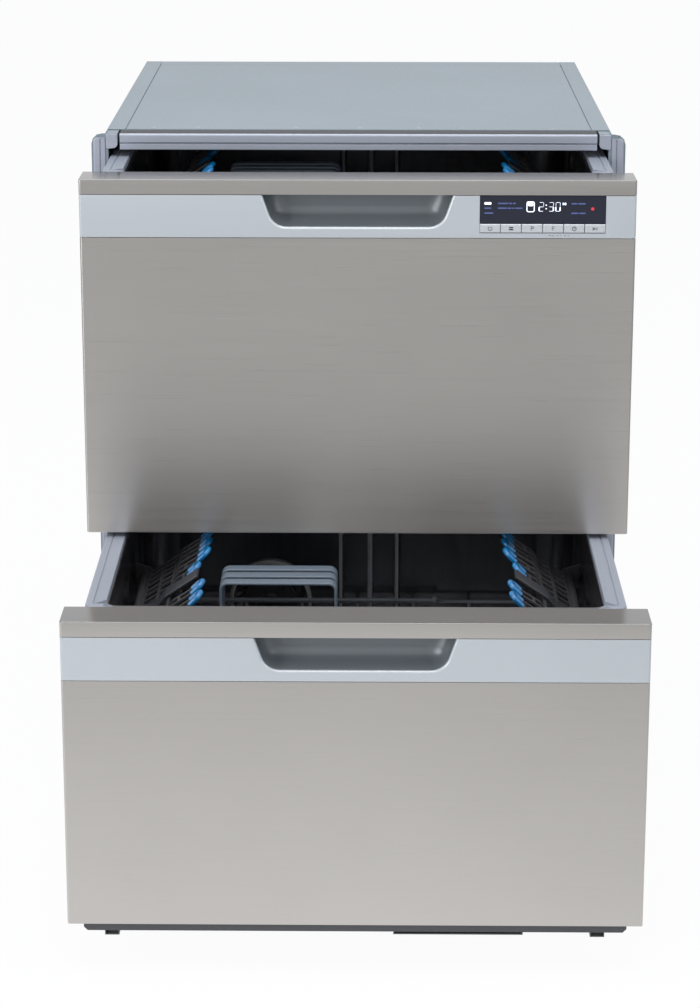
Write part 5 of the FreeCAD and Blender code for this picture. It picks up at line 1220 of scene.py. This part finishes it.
@dataclass
class TubRim:
    """Moulded frame over the tub's edge, with rounded edges and one groove all round."""

    bay: Bay
    half: float = 278.5
    front: float = 0.3
    rear: float = 464.0
    corner: float = 10.0
    skirt: float = 14.0
    thickness: float = 6.8
    round_off: float = 1.6
    groove: float = 8.0
    front_drop: float = 9.5
    mouth: tuple[float, float, float, float] = (-257.0, 257.0, 22.0, 446.0)
    mouth_corner: float = 42.0
    mouth_front: float = 3.0
    mouth_edge: float = 1.4
    fill: tuple[int, ...] = (4, 4, 180, 4)

    def outer(self, inset_by: float) -> Array:
        """Outline of the frame, drawn in by an amount.

        Args:
            inset_by: The amount.

        Returns:
            Points in two coordinates.
        """
        half = self.half - inset_by
        return rounded_ring(-half, half, self.front + inset_by, self.rear - inset_by,
                            max(self.corner - inset_by, 3.0), 9, self.fill)

    def lowered(self, rings: Array) -> Array:
        """Rings with the bar behind the drawer's front set lower between the side bars.

        Args:
            rings: Grid of points.

        Returns:
            The same grid with the front bar lowered.
        """
        x1, y0 = self.mouth[1:3]
        between = (np.abs(rings[..., 0]) < x1 - 0.5) & (rings[..., 1] < y0 + 6.0)
        level = rings[..., 2] - np.where(between, self.front_drop, 0.0)
        return np.stack([rings[..., 0], rings[..., 1], np.maximum(level, -self.skirt)], axis=-1)

    def inner(self, grow: float) -> Array:
        """Outline of the mouth, grown by an amount.

        Args:
            grow: The amount.

        Returns:
            Points in two coordinates.
        """
        x0, x1, y0, y1 = self.mouth
        return rounded_ring(x0 - grow, x1 + grow, y0 - grow, y1 + grow,
                            self.mouth_corner + grow, 9, self.fill, self.mouth_front + grow)

    def build(self) -> None:
        """Make the frame: a closed profile with rounded edges, carried round both outlines."""
        rows = [raised(self.outer(2.0), -self.skirt), raised(self.outer(0.0), -self.skirt)]
        rows += [raised(self.outer(draw), -rise) for rise, draw in quarter(self.round_off, 4)]
        rows += [raised(self.outer(self.groove + d), z)
                 for d, z in ((-0.3, 0.0), (0.1, -1.1), (1.3, -1.1), (1.7, -0.2))]
        rows += [raised(self.inner(grow), -0.2 - drop)
                 for grow, drop in quarter(self.mouth_edge, 4)]
        rows += [raised(self.inner(0.0), -self.thickness),
                 raised(self.outer(2.0), -self.thickness)]
        surface = grid(self.lowered(np.stack(rows)), wrap_rows=True, wrap_columns=True)
        self.bay.add("rim_moulding", surface, [RIM], "tub_rim", crease=40.0)


# Fittings inside a tub


@dataclass
class WireRack:
    """Rack of bent and welded wire with rows of tines and its feet."""

    bay: Bay
    half: float = 200.0
    front: float = 46.0
    rear: float = 422.0
    floor: float = -226.0
    top: float = -150.0
    radius: float = 2.0
    tine_radius: float = 1.7
    tine_pitch: float = 45.0
    tine_start: float = 95.0
    tine_knee: float = 40.0
    tine_height: float = 62.0
    tine_lean: float = 3.0
    lower_line: float = 38.0
    sole: float = -273.2
    tines: tuple[tuple[float, int], ...] = ((-133.3, 3), (-66.7, 3), (66.7, 7), (133.3, 7))

    def build(self) -> None:
        """Make the rack as one welded piece."""
        wire = circle(self.radius)
        pieces = []
        for x in np.linspace(-self.half, self.half, 7):
            path = [(x, self.front, self.top), (x, self.front, self.floor),
                    (x, self.rear, self.floor), (x, self.rear, self.top)]
            pieces.append(bar(rounded_path(path, 12.0), wire))
        step = (self.rear - self.front) / 7
        low = self.floor - 2 * self.radius + 0.4
        for index in range(1, 7):
            y = self.front + step * index
            path = [(-self.half, y, self.top), (-self.half, y, low), (self.half, y, low),
                    (self.half, y, self.top)]
            pieces.append(bar(rounded_path(path, 10.0), wire))
        frame_line = rounded_ring(-self.half, self.half, self.front, self.rear, 14.0, 6)
        pieces.append(bar(raised(frame_line, self.top), circle(self.radius, 12), True))
        pieces.append(bar(raised(frame_line, self.top - self.lower_line), wire, True))
        for x, count in self.tines:
            for y in self.tine_start + self.tine_pitch * np.arange(7 - count, 7):
                tip = (x, y + self.tine_lean, self.floor + self.tine_height)
                path = [(x, y, self.floor), (x, y, self.floor + self.tine_knee), tip]
                pieces.append(bar(rounded_path(path, 20.0), circle(self.tine_radius, 8)))
                pieces.append(lathe([(self.tine_radius, 0), (1.4, 0.8), (0.8, 1.4), (0.2, 1.6)],
                                    tip, sides=8))
        for x in (-self.half, self.half):
            for y in (self.front + step / 2, self.rear - step / 2):
                foot = [(x, y - 9, self.floor), (x, y - 9, self.sole), (x, y + 9, self.sole),
                        (x, y + 9, self.floor)]
                pieces.append(bar(rounded_path(foot, 8.0), circle(1.8, 8)))
        rail = np.array([(-195, self.rear - 5, self.top + 3.6),
                         (92, self.rear - 5, self.top + 3.6)], dtype=float)
        pieces.append(bar(rail, circle(2.2)))
        turn = np.linspace(0, math.pi, 9)
        ball = np.stack([4.2 * np.sin(turn), -4.2 * np.cos(turn)], axis=-1)
        pieces.append(lathe(ball, rail[1], "x", 12))
        self.bay.add("wire_rack", joined(pieces), [WIRE_WITH_HIGHLIGHT], "rack", crease=50.0)


@dataclass
class CutleryBasket:
    """Basket of upright bars between a tray and a top band, with three strap handles."""

    bay: Bay
    left: float = -148.5
    right: float = -21.0
    front: float = 138.0
    rear: float = 201.0
    bottom: float = -224.0
    top: float = -108.0
    corner: float = 7.0
    strap_top: float = -25.0
    straps: tuple[float, ...] = (148.0, 169.5, 191.0)
    bar_half: float = 2.2
    bars: tuple[int, int] = (14, 6)
    band: float = 14.0
    middle_band: tuple[float, float] = (-174.0, -168.0)

    def ring(self, inset_by: float, fill: Sequence[int] = (0, 0, 0, 0)) -> Array:
        """Outline of the basket, drawn in by an amount.

        Args:
            inset_by: The amount.
            fill: Count of extra points on each side.

        Returns:
            Points in two coordinates.
        """
        return rounded_ring(self.left + inset_by, self.right - inset_by, self.front + inset_by,
                            self.rear - inset_by, self.corner - inset_by / 2, 5, fill)

    def hoop(self, low: float, high: float) -> Surface:
        """Band of the wall between two levels.

        Args:
            low, high: The two levels.

        Returns:
            A closed surface.
        """
        rows = [raised(self.ring(0), low), raised(self.ring(0), high - 0.8),
                raised(self.ring(0.8), high), raised(self.ring(1.6), high),
                raised(self.ring(2.4), high - 0.8), raised(self.ring(2.4), low)]
        return grid(np.stack(rows), wrap_rows=True, wrap_columns=True)

    def build(self) -> None:
        """Make the basket and its straps."""
        pieces = [self.hoop(self.bottom, self.bottom + self.band),
                  self.hoop(self.top - self.band, self.top), self.hoop(*self.middle_band)]
        pieces.append(slab(self.ring(1.0), self.bottom, self.bottom + 2.4))
        wide, height = self.bar_half, (self.bottom + 6, self.top - 6)
        for x in np.linspace(self.left + 9, self.right - 9, self.bars[0]):
            for y in (self.front + 1.2, self.rear - 1.2):
                pieces.append(slab(rectangle(x - wide, x + wide, y - 1.0, y + 1.0), *height, 0.5))
        for y in np.linspace(self.front + 9, self.rear - 9, self.bars[1]):
            for x in (self.left + 1.2, self.right - 1.2):
                pieces.append(slab(rectangle(x - 1.0, x + 1.0, y - wide, y + wide), *height, 0.5))
        straps = []
        left, right, over = self.left + 1.5, self.right - 1.5, self.strap_top - 1.5
        for y in self.straps:
            path = [(left, y, self.top - 3), (left, y, over), (right, y, over),
                    (right, y, self.top - 3)]
            straps.append(bar(rounded_path(path, 7.5, steps=8), flat_section(14.0, 3.0, 1.1)))
        surface = joined([joined(pieces), joined(straps).marked(1)])
        self.bay.add("cutlery_holder", surface, [BASKET, STRAP], "cutlery_basket")


@dataclass
class CupShelf:
    """Folding shelf of paired struts with blue soft tips and one wide arm.

    It is drawn flat, with distance from the hinge on -X and the row of struts on Y, and turned
    up to its angle at rest.
    """

    bay: Bay
    right_side: bool
    hinge_x: float = 240.0
    hinge_z: float = -68.0
    reach: float = 95.0
    short_reach: float = 84.5
    angle: float = math.radians(33.0)
    low: float = 62.0
    high: float = 284.0
    arm: float = 152.0
    loops: tuple[float, ...] = (-80.0, -46.0, 25.0, 58.0, 91.0, 122.0)
    gap: float = 15.0
    joggle: float = 3.2
    tube: float = 2.9
    curl: float = 0.2

    def strut_pair(self, y: float, reach: float) -> list[Surface]:
        """Two thin struts with a joggle, and the cross bar between them.

        Args:
            y: Middle of the pair.
            reach: How far the tip stands out.

        Returns:
            The three bars.
        """
        pieces = []
        for side in (-0.5, 0.5):
            at = y + side * self.gap
            path = [(-2, at, 0), (-46, at, 0), (-54, at, self.joggle),
                    (-reach + 13, at, self.joggle)]
            pieces.append(bar(rounded_path(path, 5.0, steps=3), flat_section(2.0, 3.0, 0.7)))
        pieces.append(slab(rectangle(-64, -61, y - self.gap / 2, y + self.gap / 2), 2.0, 4.4, 0.4))
        return pieces

    def soft_tip(self, y: float, reach: float) -> Surface:
        """Sleeve round the end of a pair: a fat tube bent back on itself, curling upwards.

        Args:
            y: Middle of the pair.
            reach: How far the tip stands out.

        Returns:
            A closed surface.
        """
        half = self.gap / 2
        turn = np.linspace(math.pi / 2, -math.pi / 2, 9)
        bend = np.stack([-reach + half - half * np.cos(turn), y + half * np.sin(turn)], axis=-1)
        start = -reach + half + 8.0
        flat = np.concatenate([[(start, y + half)], bend, [(start, y - half)]])
        lift = self.joggle + (start - flat[:, 0]) * self.curl
        return bar(np.column_stack([flat, lift]), circle(self.tube))

    def build(self) -> None:
        """Make the shelf and hand it to its own body."""
        dark, blue = [], []
        for step in self.loops:
            reach = self.short_reach if 0 < step < 30 else self.reach
            dark += self.strut_pair(self.arm + step, reach)
            blue.append(self.soft_tip(self.arm + step, reach))
        for distance, width in ((4.0, 6.0), (26.0, 3.0), (44.0, 3.0)):
            dark.append(slab(rectangle(-distance - width / 2, -distance + width / 2,
                                       self.low + 1, self.high - 1), -1.5, 1.5, 0.6))
        long = self.high - self.low
        dark.append(lathe([(3.4, 0), (5, 0), (5, long), (3.4, long)], (0, self.low, 0), "y", 16))
        arm_path = [(-3, self.arm, 0), (-30, self.arm, 0), (-42, self.arm, 4.4),
                    (-self.short_reach, self.arm, 5.4)]
        paddle = bar(rounded_path(arm_path, 8.0, steps=4), flat_section(25.0, 3.0, 1.2))
        surface = joined([joined(dark), joined(blue).marked(1), paddle.marked(2)])
        surface = surface.turned_y(self.angle).moved(self.hinge_x, 0.0, self.hinge_z)
        side = "right"
        if not self.right_side:
            surface, side = surface.flipped_x(), "left"
        self.bay.add(f"soft_tip_shelf_{side}", surface, [SHELF, SOFT_BLUE, PADDLE],
                     f"cup_shelf_{side}", f"cup_shelf_{side}")


@dataclass
class VentGrille:
    """Round drying vent: a bright ring round swept vanes on a hub."""

    bay: Bay
    x: float = -105.0
    z: float = -155.0
    wall: float = 438.0
    radius: float = 50.0
    bore: float = 44.5
    hub: float = 11.0
    vanes: int = 14
    sweep: float = 1.05

    def vane(self, turn: float) -> Surface:
        """One blade, from the hub to the ring.

        As the share s goes from 0 to 1, its turn grows by the sweep times s to the power 0.8
        and its width evenly from 2.6 to 7 mm; one long edge stands 1 mm further in.

        Args:
            turn: Turn at the hub, in radians.

        Returns:
            A closed surface about the vent's middle.
        """
        share = np.linspace(0, 1, 10)[:, None]
        reach = self.hub - 1 + (self.bore + 1 - self.hub) * share
        angle = turn + self.sweep * share ** 0.8
        width = 2.6 + 4.4 * share
        side = np.array([[-0.5, 0.5, 0.5, -0.5]])
        level = np.array([[0.0, 3.6, 4.6, 1.0]])
        around = angle + side * width / reach
        front = self.wall - 3.4
        return skin(np.stack([reach * np.cos(around), np.broadcast_to(front + level, around.shape),
                              reach * np.sin(around)], axis=-1))

    def build(self) -> None:
        """Make the vent."""
        centre = (self.x, 0.0, self.z)
        ring = lathe([(self.bore, 445), (self.bore, 436), (45.2, 434.4), (46.6, 433.6),
                      (48.2, 433.9), (49.5, 435.2), (self.radius, 439.5), (self.radius - 2, 445)],
                     centre, "y", 64)
        back = lathe([(self.bore + 0.5, 443), (self.bore + 0.5, 445)], centre, "y", 48).marked(1)
        hub = lathe([(0.2, 434.0), (5, 434.3), (9, 435.2), (self.hub, 437), (self.hub, 444)],
                    centre, "y", 32).marked(1)
        turns = np.linspace(0, 2 * math.pi, self.vanes, endpoint=False)
        blades = joined([self.vane(turn) for turn in turns]).moved(self.x, 0, self.z).marked(2)
        inner = lathe([(30.0, 435.6), (30.8, 434.9), (31.6, 435.6), (31.6, 437.2),
                       (30.0, 437.2)], centre, "y", 48).marked(2)
        self.bay.add("swirl_vent", joined([ring, back, hub, blades, inner]),
                     [CHROME, BLACK, SHELF], "vent_grille")


@dataclass
class SprayArm:
    """Two hollow blades with rounded sections that taper to the tips, a domed hub and jets."""

    bay: Bay
    length: float = 192.0
    middle: float = 234.0
    bottom: float = -262.0
    root: float = 25.0
    tip: float = 13.0
    thick: float = 15.0
    thin: float = 7.0
    squareness: float = 0.66
    jets: tuple[float, ...] = (-165.0, -115.0, -60.0, 60.0, 115.0, 165.0)

    def build(self) -> None:
        """Make the arm.

        At a distance x the half width falls evenly from root to tip and is rounded off over
        the last stretch by the square root of one minus the square of the distance past it;
        the section is a squared-off ellipse of power three.
        """
        x = np.linspace(-1, 1, 41) * self.length
        share = np.abs(x) / self.length
        past = np.clip((np.abs(x) - self.length + self.tip) / self.tip, 0, 1)
        round_off = np.sqrt(np.maximum(1 - past ** 2, 0.02))
        wide = (self.root + (self.tip - self.root) * share) * round_off
        high = (self.thick + (self.thin - self.thick) * share) / 2 * (0.45 + 0.55 * round_off)
        turn = np.linspace(0, 2 * math.pi, 24, endpoint=False)
        u, v = (np.sign(part) * np.abs(part) ** self.squareness
                for part in (np.cos(turn), np.sin(turn)))
        rings = np.stack([
            np.broadcast_to(x[:, None], (len(x), 24)),
            self.middle + wide[:, None] * u,
            self.bottom + high[:, None] * (1 + v),
        ], axis=-1)
        hub = lathe([(10, 0), (24, 0), (25, 1.5), (25, 15), (22.5, 19), (15, 22), (8, 23),
                     (0.3, 23)], (0, self.middle, self.bottom), sides=40)
        jets = []
        for at in self.jets:
            top = self.bottom + self.thick - (self.thick - self.thin) * abs(at) / self.length
            ring = rounded_ring(at - 1.2, at + 1.2, self.middle - 5, self.middle + 5, 1.1, 3)
            jets.append(slab(ring, top - 2.0, top + 0.35))
        surface = joined([skin(rings), hub, joined(jets).marked(1)])
        self.bay.add("arm_pressing", surface, [GREY, BLACK], "spray_arm", "spray_arm",
                     crease=40.0)


# Cabinet


@dataclass
class CabinetTrim:
    """Front rail, feet, screws, weld spots and the inlet's thread."""

    depth: float = 545.0
    height: float = 820.0
    rail_half: float = 267.0
    screw_half: float = 273.0
    foot_places: tuple[tuple[float, float], ...] = (
        (-240.0, 35.0), (240.0, 35.0), (-240.0, 510.0), (240.0, 510.0))
    screw_levels: tuple[float, ...] = (60.0, 180.0, 320.0, 480.0, 640.0, 780.0)
    weld_places: tuple[float, ...] = (-231.0, -181.0, -70.0, 2.0, 68.0, 118.0, 219.0)
    inlet: tuple[float, float] = (-215.0, 70.0)
    thread_length: float = 16.0
    thread_pitch: float = 1.8
    thread_core: float = 13.25
    tooth: float = 0.75

    def rail(self) -> None:
        """Rolled rail: a section with a bead, a groove and a lip, carried across the front."""
        corners = np.array([(35.5, 818.2), (23.0, 818.2), (21.0, 819.6), (-1.5, 819.6),
                            (-1.5, 809.0), (0.8, 807.8), (-0.5, 806.6), (-0.5, 800.6),
                            (9.0, 800.6)])
        line = rounded_path(corners, (0, 0.6, 0.6, 3.4, 1.2, 0.4, 0.4, 1.0, 0), steps=6)
        rows = np.stack([raised(line, x, "x") for x in (-self.rail_half, self.rail_half)])
        surface = grid(rows)
        middles = surface.points[surface.corners.reshape(-1, 4)].mean(axis=1)
        surface.marks[(np.abs(middles[:, 1] - 9) < 12) & (middles[:, 2] > 819)] = 1
        make("front_rail_skin", surface, [RAIL_LIGHT, RAIL_DARK], "cabinet", CABINET_OFFSET,
             ["top_front_rail"], wall=0.9)

    def facings(self) -> None:
        """Rolled facing and top bracket of each flange.

        The facing is a plan section with two rounded beads and a groove between them, carried
        down the flange; at its top the outer bead draws in along a quarter circle.
        """
        corners = np.array([(297.2, 2.0), (297.2, -1.6), (289.8, -1.6), (289.0, 0.2),
                            (288.2, -1.2), (283.6, -1.2), (283.2, 2.0)])
        line = rounded_path(corners, (0, 2.2, 0.5, 0.3, 0.4, 0.5, 0), steps=4)
        rise, draw = quarter(5.0, 5).T
        levels, insets = np.concatenate([[70.0], 814.5 - rise]), np.concatenate([[0.0], draw])
        rows = np.stack([raised(line - [[i, 0]] * (line[:, :1] > 290), z)
                         for i, z in zip(insets, levels)])
        strip = skin(rows)
        shield = np.array([(269.5, 803.0), (282.6, 801.5), (282.6, 818.6), (269.5, 818.6)])
        outline = rounded_path(shield, (5.0, 2.0, 1.0, 1.0), closed=True)
        both = joined([strip, slab(outline, -1.3, 1.0, 0.6, "y")])
        make("flange_facings", joined([both, both.flipped_x()]), [RAIL_LIGHT], "cabinet",
             CABINET_OFFSET)

    def feet(self) -> None:
        """Four feet: a ribbed pad, a stem and a lock nut, each turned about its own axis."""
        profile = [(19, 0), (19, 3.2), (17.5, 4.6), (12, 5.2), (7, 6.2), (5, 7.4), (5, 13.6),
                   (9, 13.8), (9, 18.6), (4.6, 19)]
        feet = [lathe(profile, (x, y, 0), sides=28) for x, y in self.foot_places]
        make("turned_feet", joined(feet), [BLACK], "cabinet", CABINET_OFFSET,
             ["levelling_feet"])

    def screws(self) -> None:
        """Pan head screws along the rear panel and weld spots behind the front rail."""
        head = [(3.8, 0.0), (3.8, 0.9), (3.2, 1.8), (1.8, 2.3), (1.2, 2.3), (1.2, 1.2),
                (0.2, 1.2)]
        screws = [lathe(head, (x, self.depth - 0.05, z), "y", 14)
                  for x in (-self.screw_half, self.screw_half) for z in self.screw_levels]
        make("cabinet_screws", joined(screws), [SCREW], "cabinet", CABINET_OFFSET)
        spots = [lathe([(2.3, 0.0), (1.9, 0.25), (0.2, 0.3)], (x, 34.0, self.height - 0.02),
                       "z", 14) for x in self.weld_places]
        make("weld_spots", joined(spots), [SCREW], "cabinet", CABINET_OFFSET)

    def thread(self) -> None:
        """Thread on the inlet nozzle.

        The radius is the core plus a tooth: a triangle wave of the share of a turn plus the
        height over the pitch, faded out at both ends.
        """
        turn = np.linspace(0, 2 * math.pi, 36, endpoint=False)[None]
        height = np.linspace(0, self.thread_length, 73)[:, None]
        phase = (turn / (2 * math.pi) + height / self.thread_pitch) % 1.0
        fade = np.clip(np.minimum(height, self.thread_length - height) / 1.5, 0, 1)
        radius = self.thread_core + self.tooth * fade * (1 - np.abs(2 * phase - 1))
        x, z = self.inlet
        rings = np.stack([x + radius * np.cos(turn),
                          np.broadcast_to(self.depth + 1.5 + height, radius.shape),
                          z + radius * np.sin(turn)], axis=-1)
        make("inlet_thread", grid(rings, wrap_columns=True), [WHITE], "cabinet",
             CABINET_OFFSET, wall=0.3, crease=60.0)

    def build(self) -> None:
        """Make the cabinet's own pieces."""
        for step in (self.rail, self.facings, self.feet, self.screws, self.thread):
            step()


# Finishes of the nodes that stay


def dress_nodes() -> None:
    """Give every node that is still shown its finish."""
    chosen: dict[str, Finish] = {
        "cabinet_runners": ZINC, "base_pan": CABINET, "water_inlet": WHITE,
        "drain_outlet": BLACK, "cable_gland": BLACK, "levelling_feet": BLACK,
        "upper_display_window": GLASS, "lower_kick_rail": KICK,
    }
    endings: dict[str, Finish] = {
        "_panel_left": CABINET, "_panel_right": CABINET, "top_panel": CABINET,
        "rear_panel": CABINET, "middle_rail": CABINET, "_runner_middle": ZINC,
        "_runner_inner": ZINC, "_pump": GREY, "_filter": GREY, "_dispenser": GREY,
        "_dispenser_lid": GREY, "_front_liner": LINER, "_lid": WHITE, "_lid_seal": RUBBER,
    }
    for name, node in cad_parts.items():
        finish = chosen.get(name)
        if finish is None and "_button_" in name:
            finish = KEY
        if finish is None:
            fitting = [kind for ending, kind in endings.items() if name.endswith(ending)]
            finish = fitting[-1] if fitting else GREY
        node.data.materials.clear()
        node.data.materials.append(finish.material())
    LOG.info("dressed %d nodes", len(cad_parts))


# Studio


@dataclass(frozen=True)
class Lamp:
    """Square soft lamp aimed at a point.

    Attributes:
        name: Name of the lamp.
        place: Where it stands, in metres.
        aim: Point that it faces.
        size: Side of its square, in metres.
        power: Power in watts.
    """

    name: str
    place: tuple[float, float, float]
    aim: tuple[float, float, float]
    size: float
    power: float

    def build(self) -> None:
        """Hang the lamp and turn it to its aim."""
        data = bpy.data.lights.new(self.name, "AREA")
        data.size = self.size
        data.energy = self.power
        lamp = bpy.data.objects.new(self.name, data)
        lamp.location = self.place
        ahead = np.array(self.aim) - np.array(self.place)
        lamp.rotation_euler = (math.atan2(math.hypot(ahead[0], ahead[1]), -ahead[2]), 0.0,
                               math.atan2(ahead[0], -ahead[1]) + math.pi)
        bpy.context.scene.collection.objects.link(lamp)


@dataclass
class Studio:
    """Pale floor, soft lamps, white surroundings and the camera."""

    eye: tuple[float, float, float] = (0.01538, -2.90383, 1.31594)
    pitch: float = 14.105
    yaw: float = -0.509
    roll: float = -0.049
    focal: float = 2556.5
    axis_row: float = 318.0
    sensor: float = 36.0
    image_height: int = 1008
    fade: float = 0.5
    pool_x: float = -0.35
    cover: float = 0.95
    pale: float = 0.94
    floor_roughness: float = 0.9
    floor_half: float = 9000.0
    floor_level: float = -0.4
    sky: tuple[float, float, float, float] = (0.86, 0.92, 1.0, 1.0)
    sky_strength: float = 0.45
    lamps: tuple[Lamp, ...] = (
        Lamp("overhead", (0.0, -0.9, 3.0), (0.0, -0.1, 0.4), 2.2, 55.0),
        Lamp("left", (-2.4, -2.2, 1.2), (0.0, -0.3, 0.3), 1.6, 34.0),
        Lamp("right", (2.2, -1.6, 1.8), (0.0, 0.0, 0.4), 1.4, 8.0),
    )

    def camera(self) -> None:
        """Camera at the photograph's place; its shift keeps upright lines upright."""
        data = bpy.data.cameras.new("camera")
        camera = bpy.data.objects.new("camera", data)
        bpy.context.scene.collection.objects.link(camera)
        camera.location = self.eye
        camera.rotation_euler = (math.radians(90 - self.pitch), math.radians(self.roll),
                                 math.radians(-self.yaw))
        data.sensor_width = self.sensor
        data.lens = self.focal * self.sensor / self.image_height
        data.shift_y = (self.axis_row - self.image_height / 2) / self.image_height
        data.clip_end = 60.0
        bpy.context.scene.camera = camera

    @staticmethod
    def seen(wiring: Wiring) -> bpy.types.NodeSocket:
        """1 for rays from the camera, from a mirror or through glass.

        Args:
            wiring: Nodes that it joins.

        Returns:
            The socket of the result.
        """
        camera, glossy, clear = (wiring.source("ShaderNodeLightPath", f"Is {kind} Ray")
                                 for kind in ("Camera", "Glossy", "Transmission"))
        return wiring.maths("MAXIMUM", wiring.maths("MAXIMUM", camera, glossy), clear)

    def world(self) -> None:
        """Even soft light, and white where it is seen."""
        world = bpy.data.worlds.new("studio")
        bpy.context.scene.world = world
        wiring = Wiring(world)
        soft = wiring["Background"]
        wiring.feed(soft, {"Color": self.sky, "Strength": self.sky_strength})
        white = wiring.add("ShaderNodeBackground", {"Color": (1, 1, 1, 1), "Strength": 1.0})
        wiring.blend(self.seen(wiring), soft.outputs[0], white, "World Output")

    def pool(self, wiring: Wiring) -> bpy.types.NodeSocket:
        """Brightness of the floor.

        It is 1 where the camera sees it, and for mirror rays a pool of light: 1 over 1 plus
        the fade times the square of the distance past half a metre from the pool's middle.

        Args:
            wiring: Nodes that it joins.

        Returns:
            The socket of the result.
        """
        place = wiring.source("ShaderNodeTexCoord", "Object")
        offset = wiring.vector("SUBTRACT", place, (self.pool_x, 0.0, 0.0))
        away = wiring.maths("SUBTRACT", wiring.vector("LENGTH", offset), 0.5)
        away = wiring.maths("MAXIMUM", away, 0.0)
        squared = wiring.maths("MULTIPLY", away, away)
        under = wiring.maths("MULTIPLY_ADD", squared, self.fade, 1.0)
        camera = wiring.source("ShaderNodeLightPath", "Is Camera Ray")
        return wiring.maths("MAXIMUM", wiring.maths("DIVIDE", 1.0, under), camera)

    def floor(self) -> None:
        """Wide pale floor that keeps a faint shadow and shows white."""
        half = self.floor_half
        surface = plate(raised(rectangle(-half, half, -half, half), self.floor_level))
        mesh = bpy.data.meshes.new("floor")
        mesh.from_pydata((surface.points * MM).tolist(), [], [list(range(4))])
        material = bpy.data.materials.new("pale floor")
        wiring = Wiring(material)
        shader = wiring["Principled BSDF"]
        wiring.feed(shader, {"Base Color": (self.pale, self.pale, self.pale, 1.0),
                             "Roughness": self.floor_roughness})
        white = wiring.add("ShaderNodeEmission", {"Strength": self.pool(wiring)})
        cover = wiring.maths("MULTIPLY", self.seen(wiring), self.cover)
        wiring.blend(cover, shader.outputs[0], white, "Material Output")
        mesh.materials.append(material)
        floor = bpy.data.objects.new("floor", mesh)
        bpy.context.scene.collection.objects.link(floor)

    def build(self) -> None:
        """Set the whole stage."""
        self.camera()
        self.world()
        self.floor()
        for lamp in self.lamps:
            lamp.build()
        bpy.context.scene.view_settings.view_transform = "Standard"


@dataclass
class Dishwasher:
    """The whole object: two drawers, the display and the cabinet."""

    bays: tuple[Bay, Bay] = (UPPER, LOWER)

    def build(self) -> None:
        """Make every piece in order."""
        for bay in self.bays:
            for part in (DrawerFront, WashTub, TubRim, WireRack, CutleryBasket):
                part(bay).build()
            for right_side in (False, True):
                CupShelf(bay, right_side).build()
            for part in (VentGrille, SprayArm):
                part(bay).build()
        Display().build()
        CabinetTrim().build()
        dress_nodes()


def main() -> None:
    """Build the studio and the object."""
    logging.basicConfig(level=logging.INFO, format="%(name)s: %(message)s")
    Studio().build()
    Dishwasher().build()
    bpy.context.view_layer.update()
    LOG.info("sizes written")


if __name__ == "__main__":
    main()
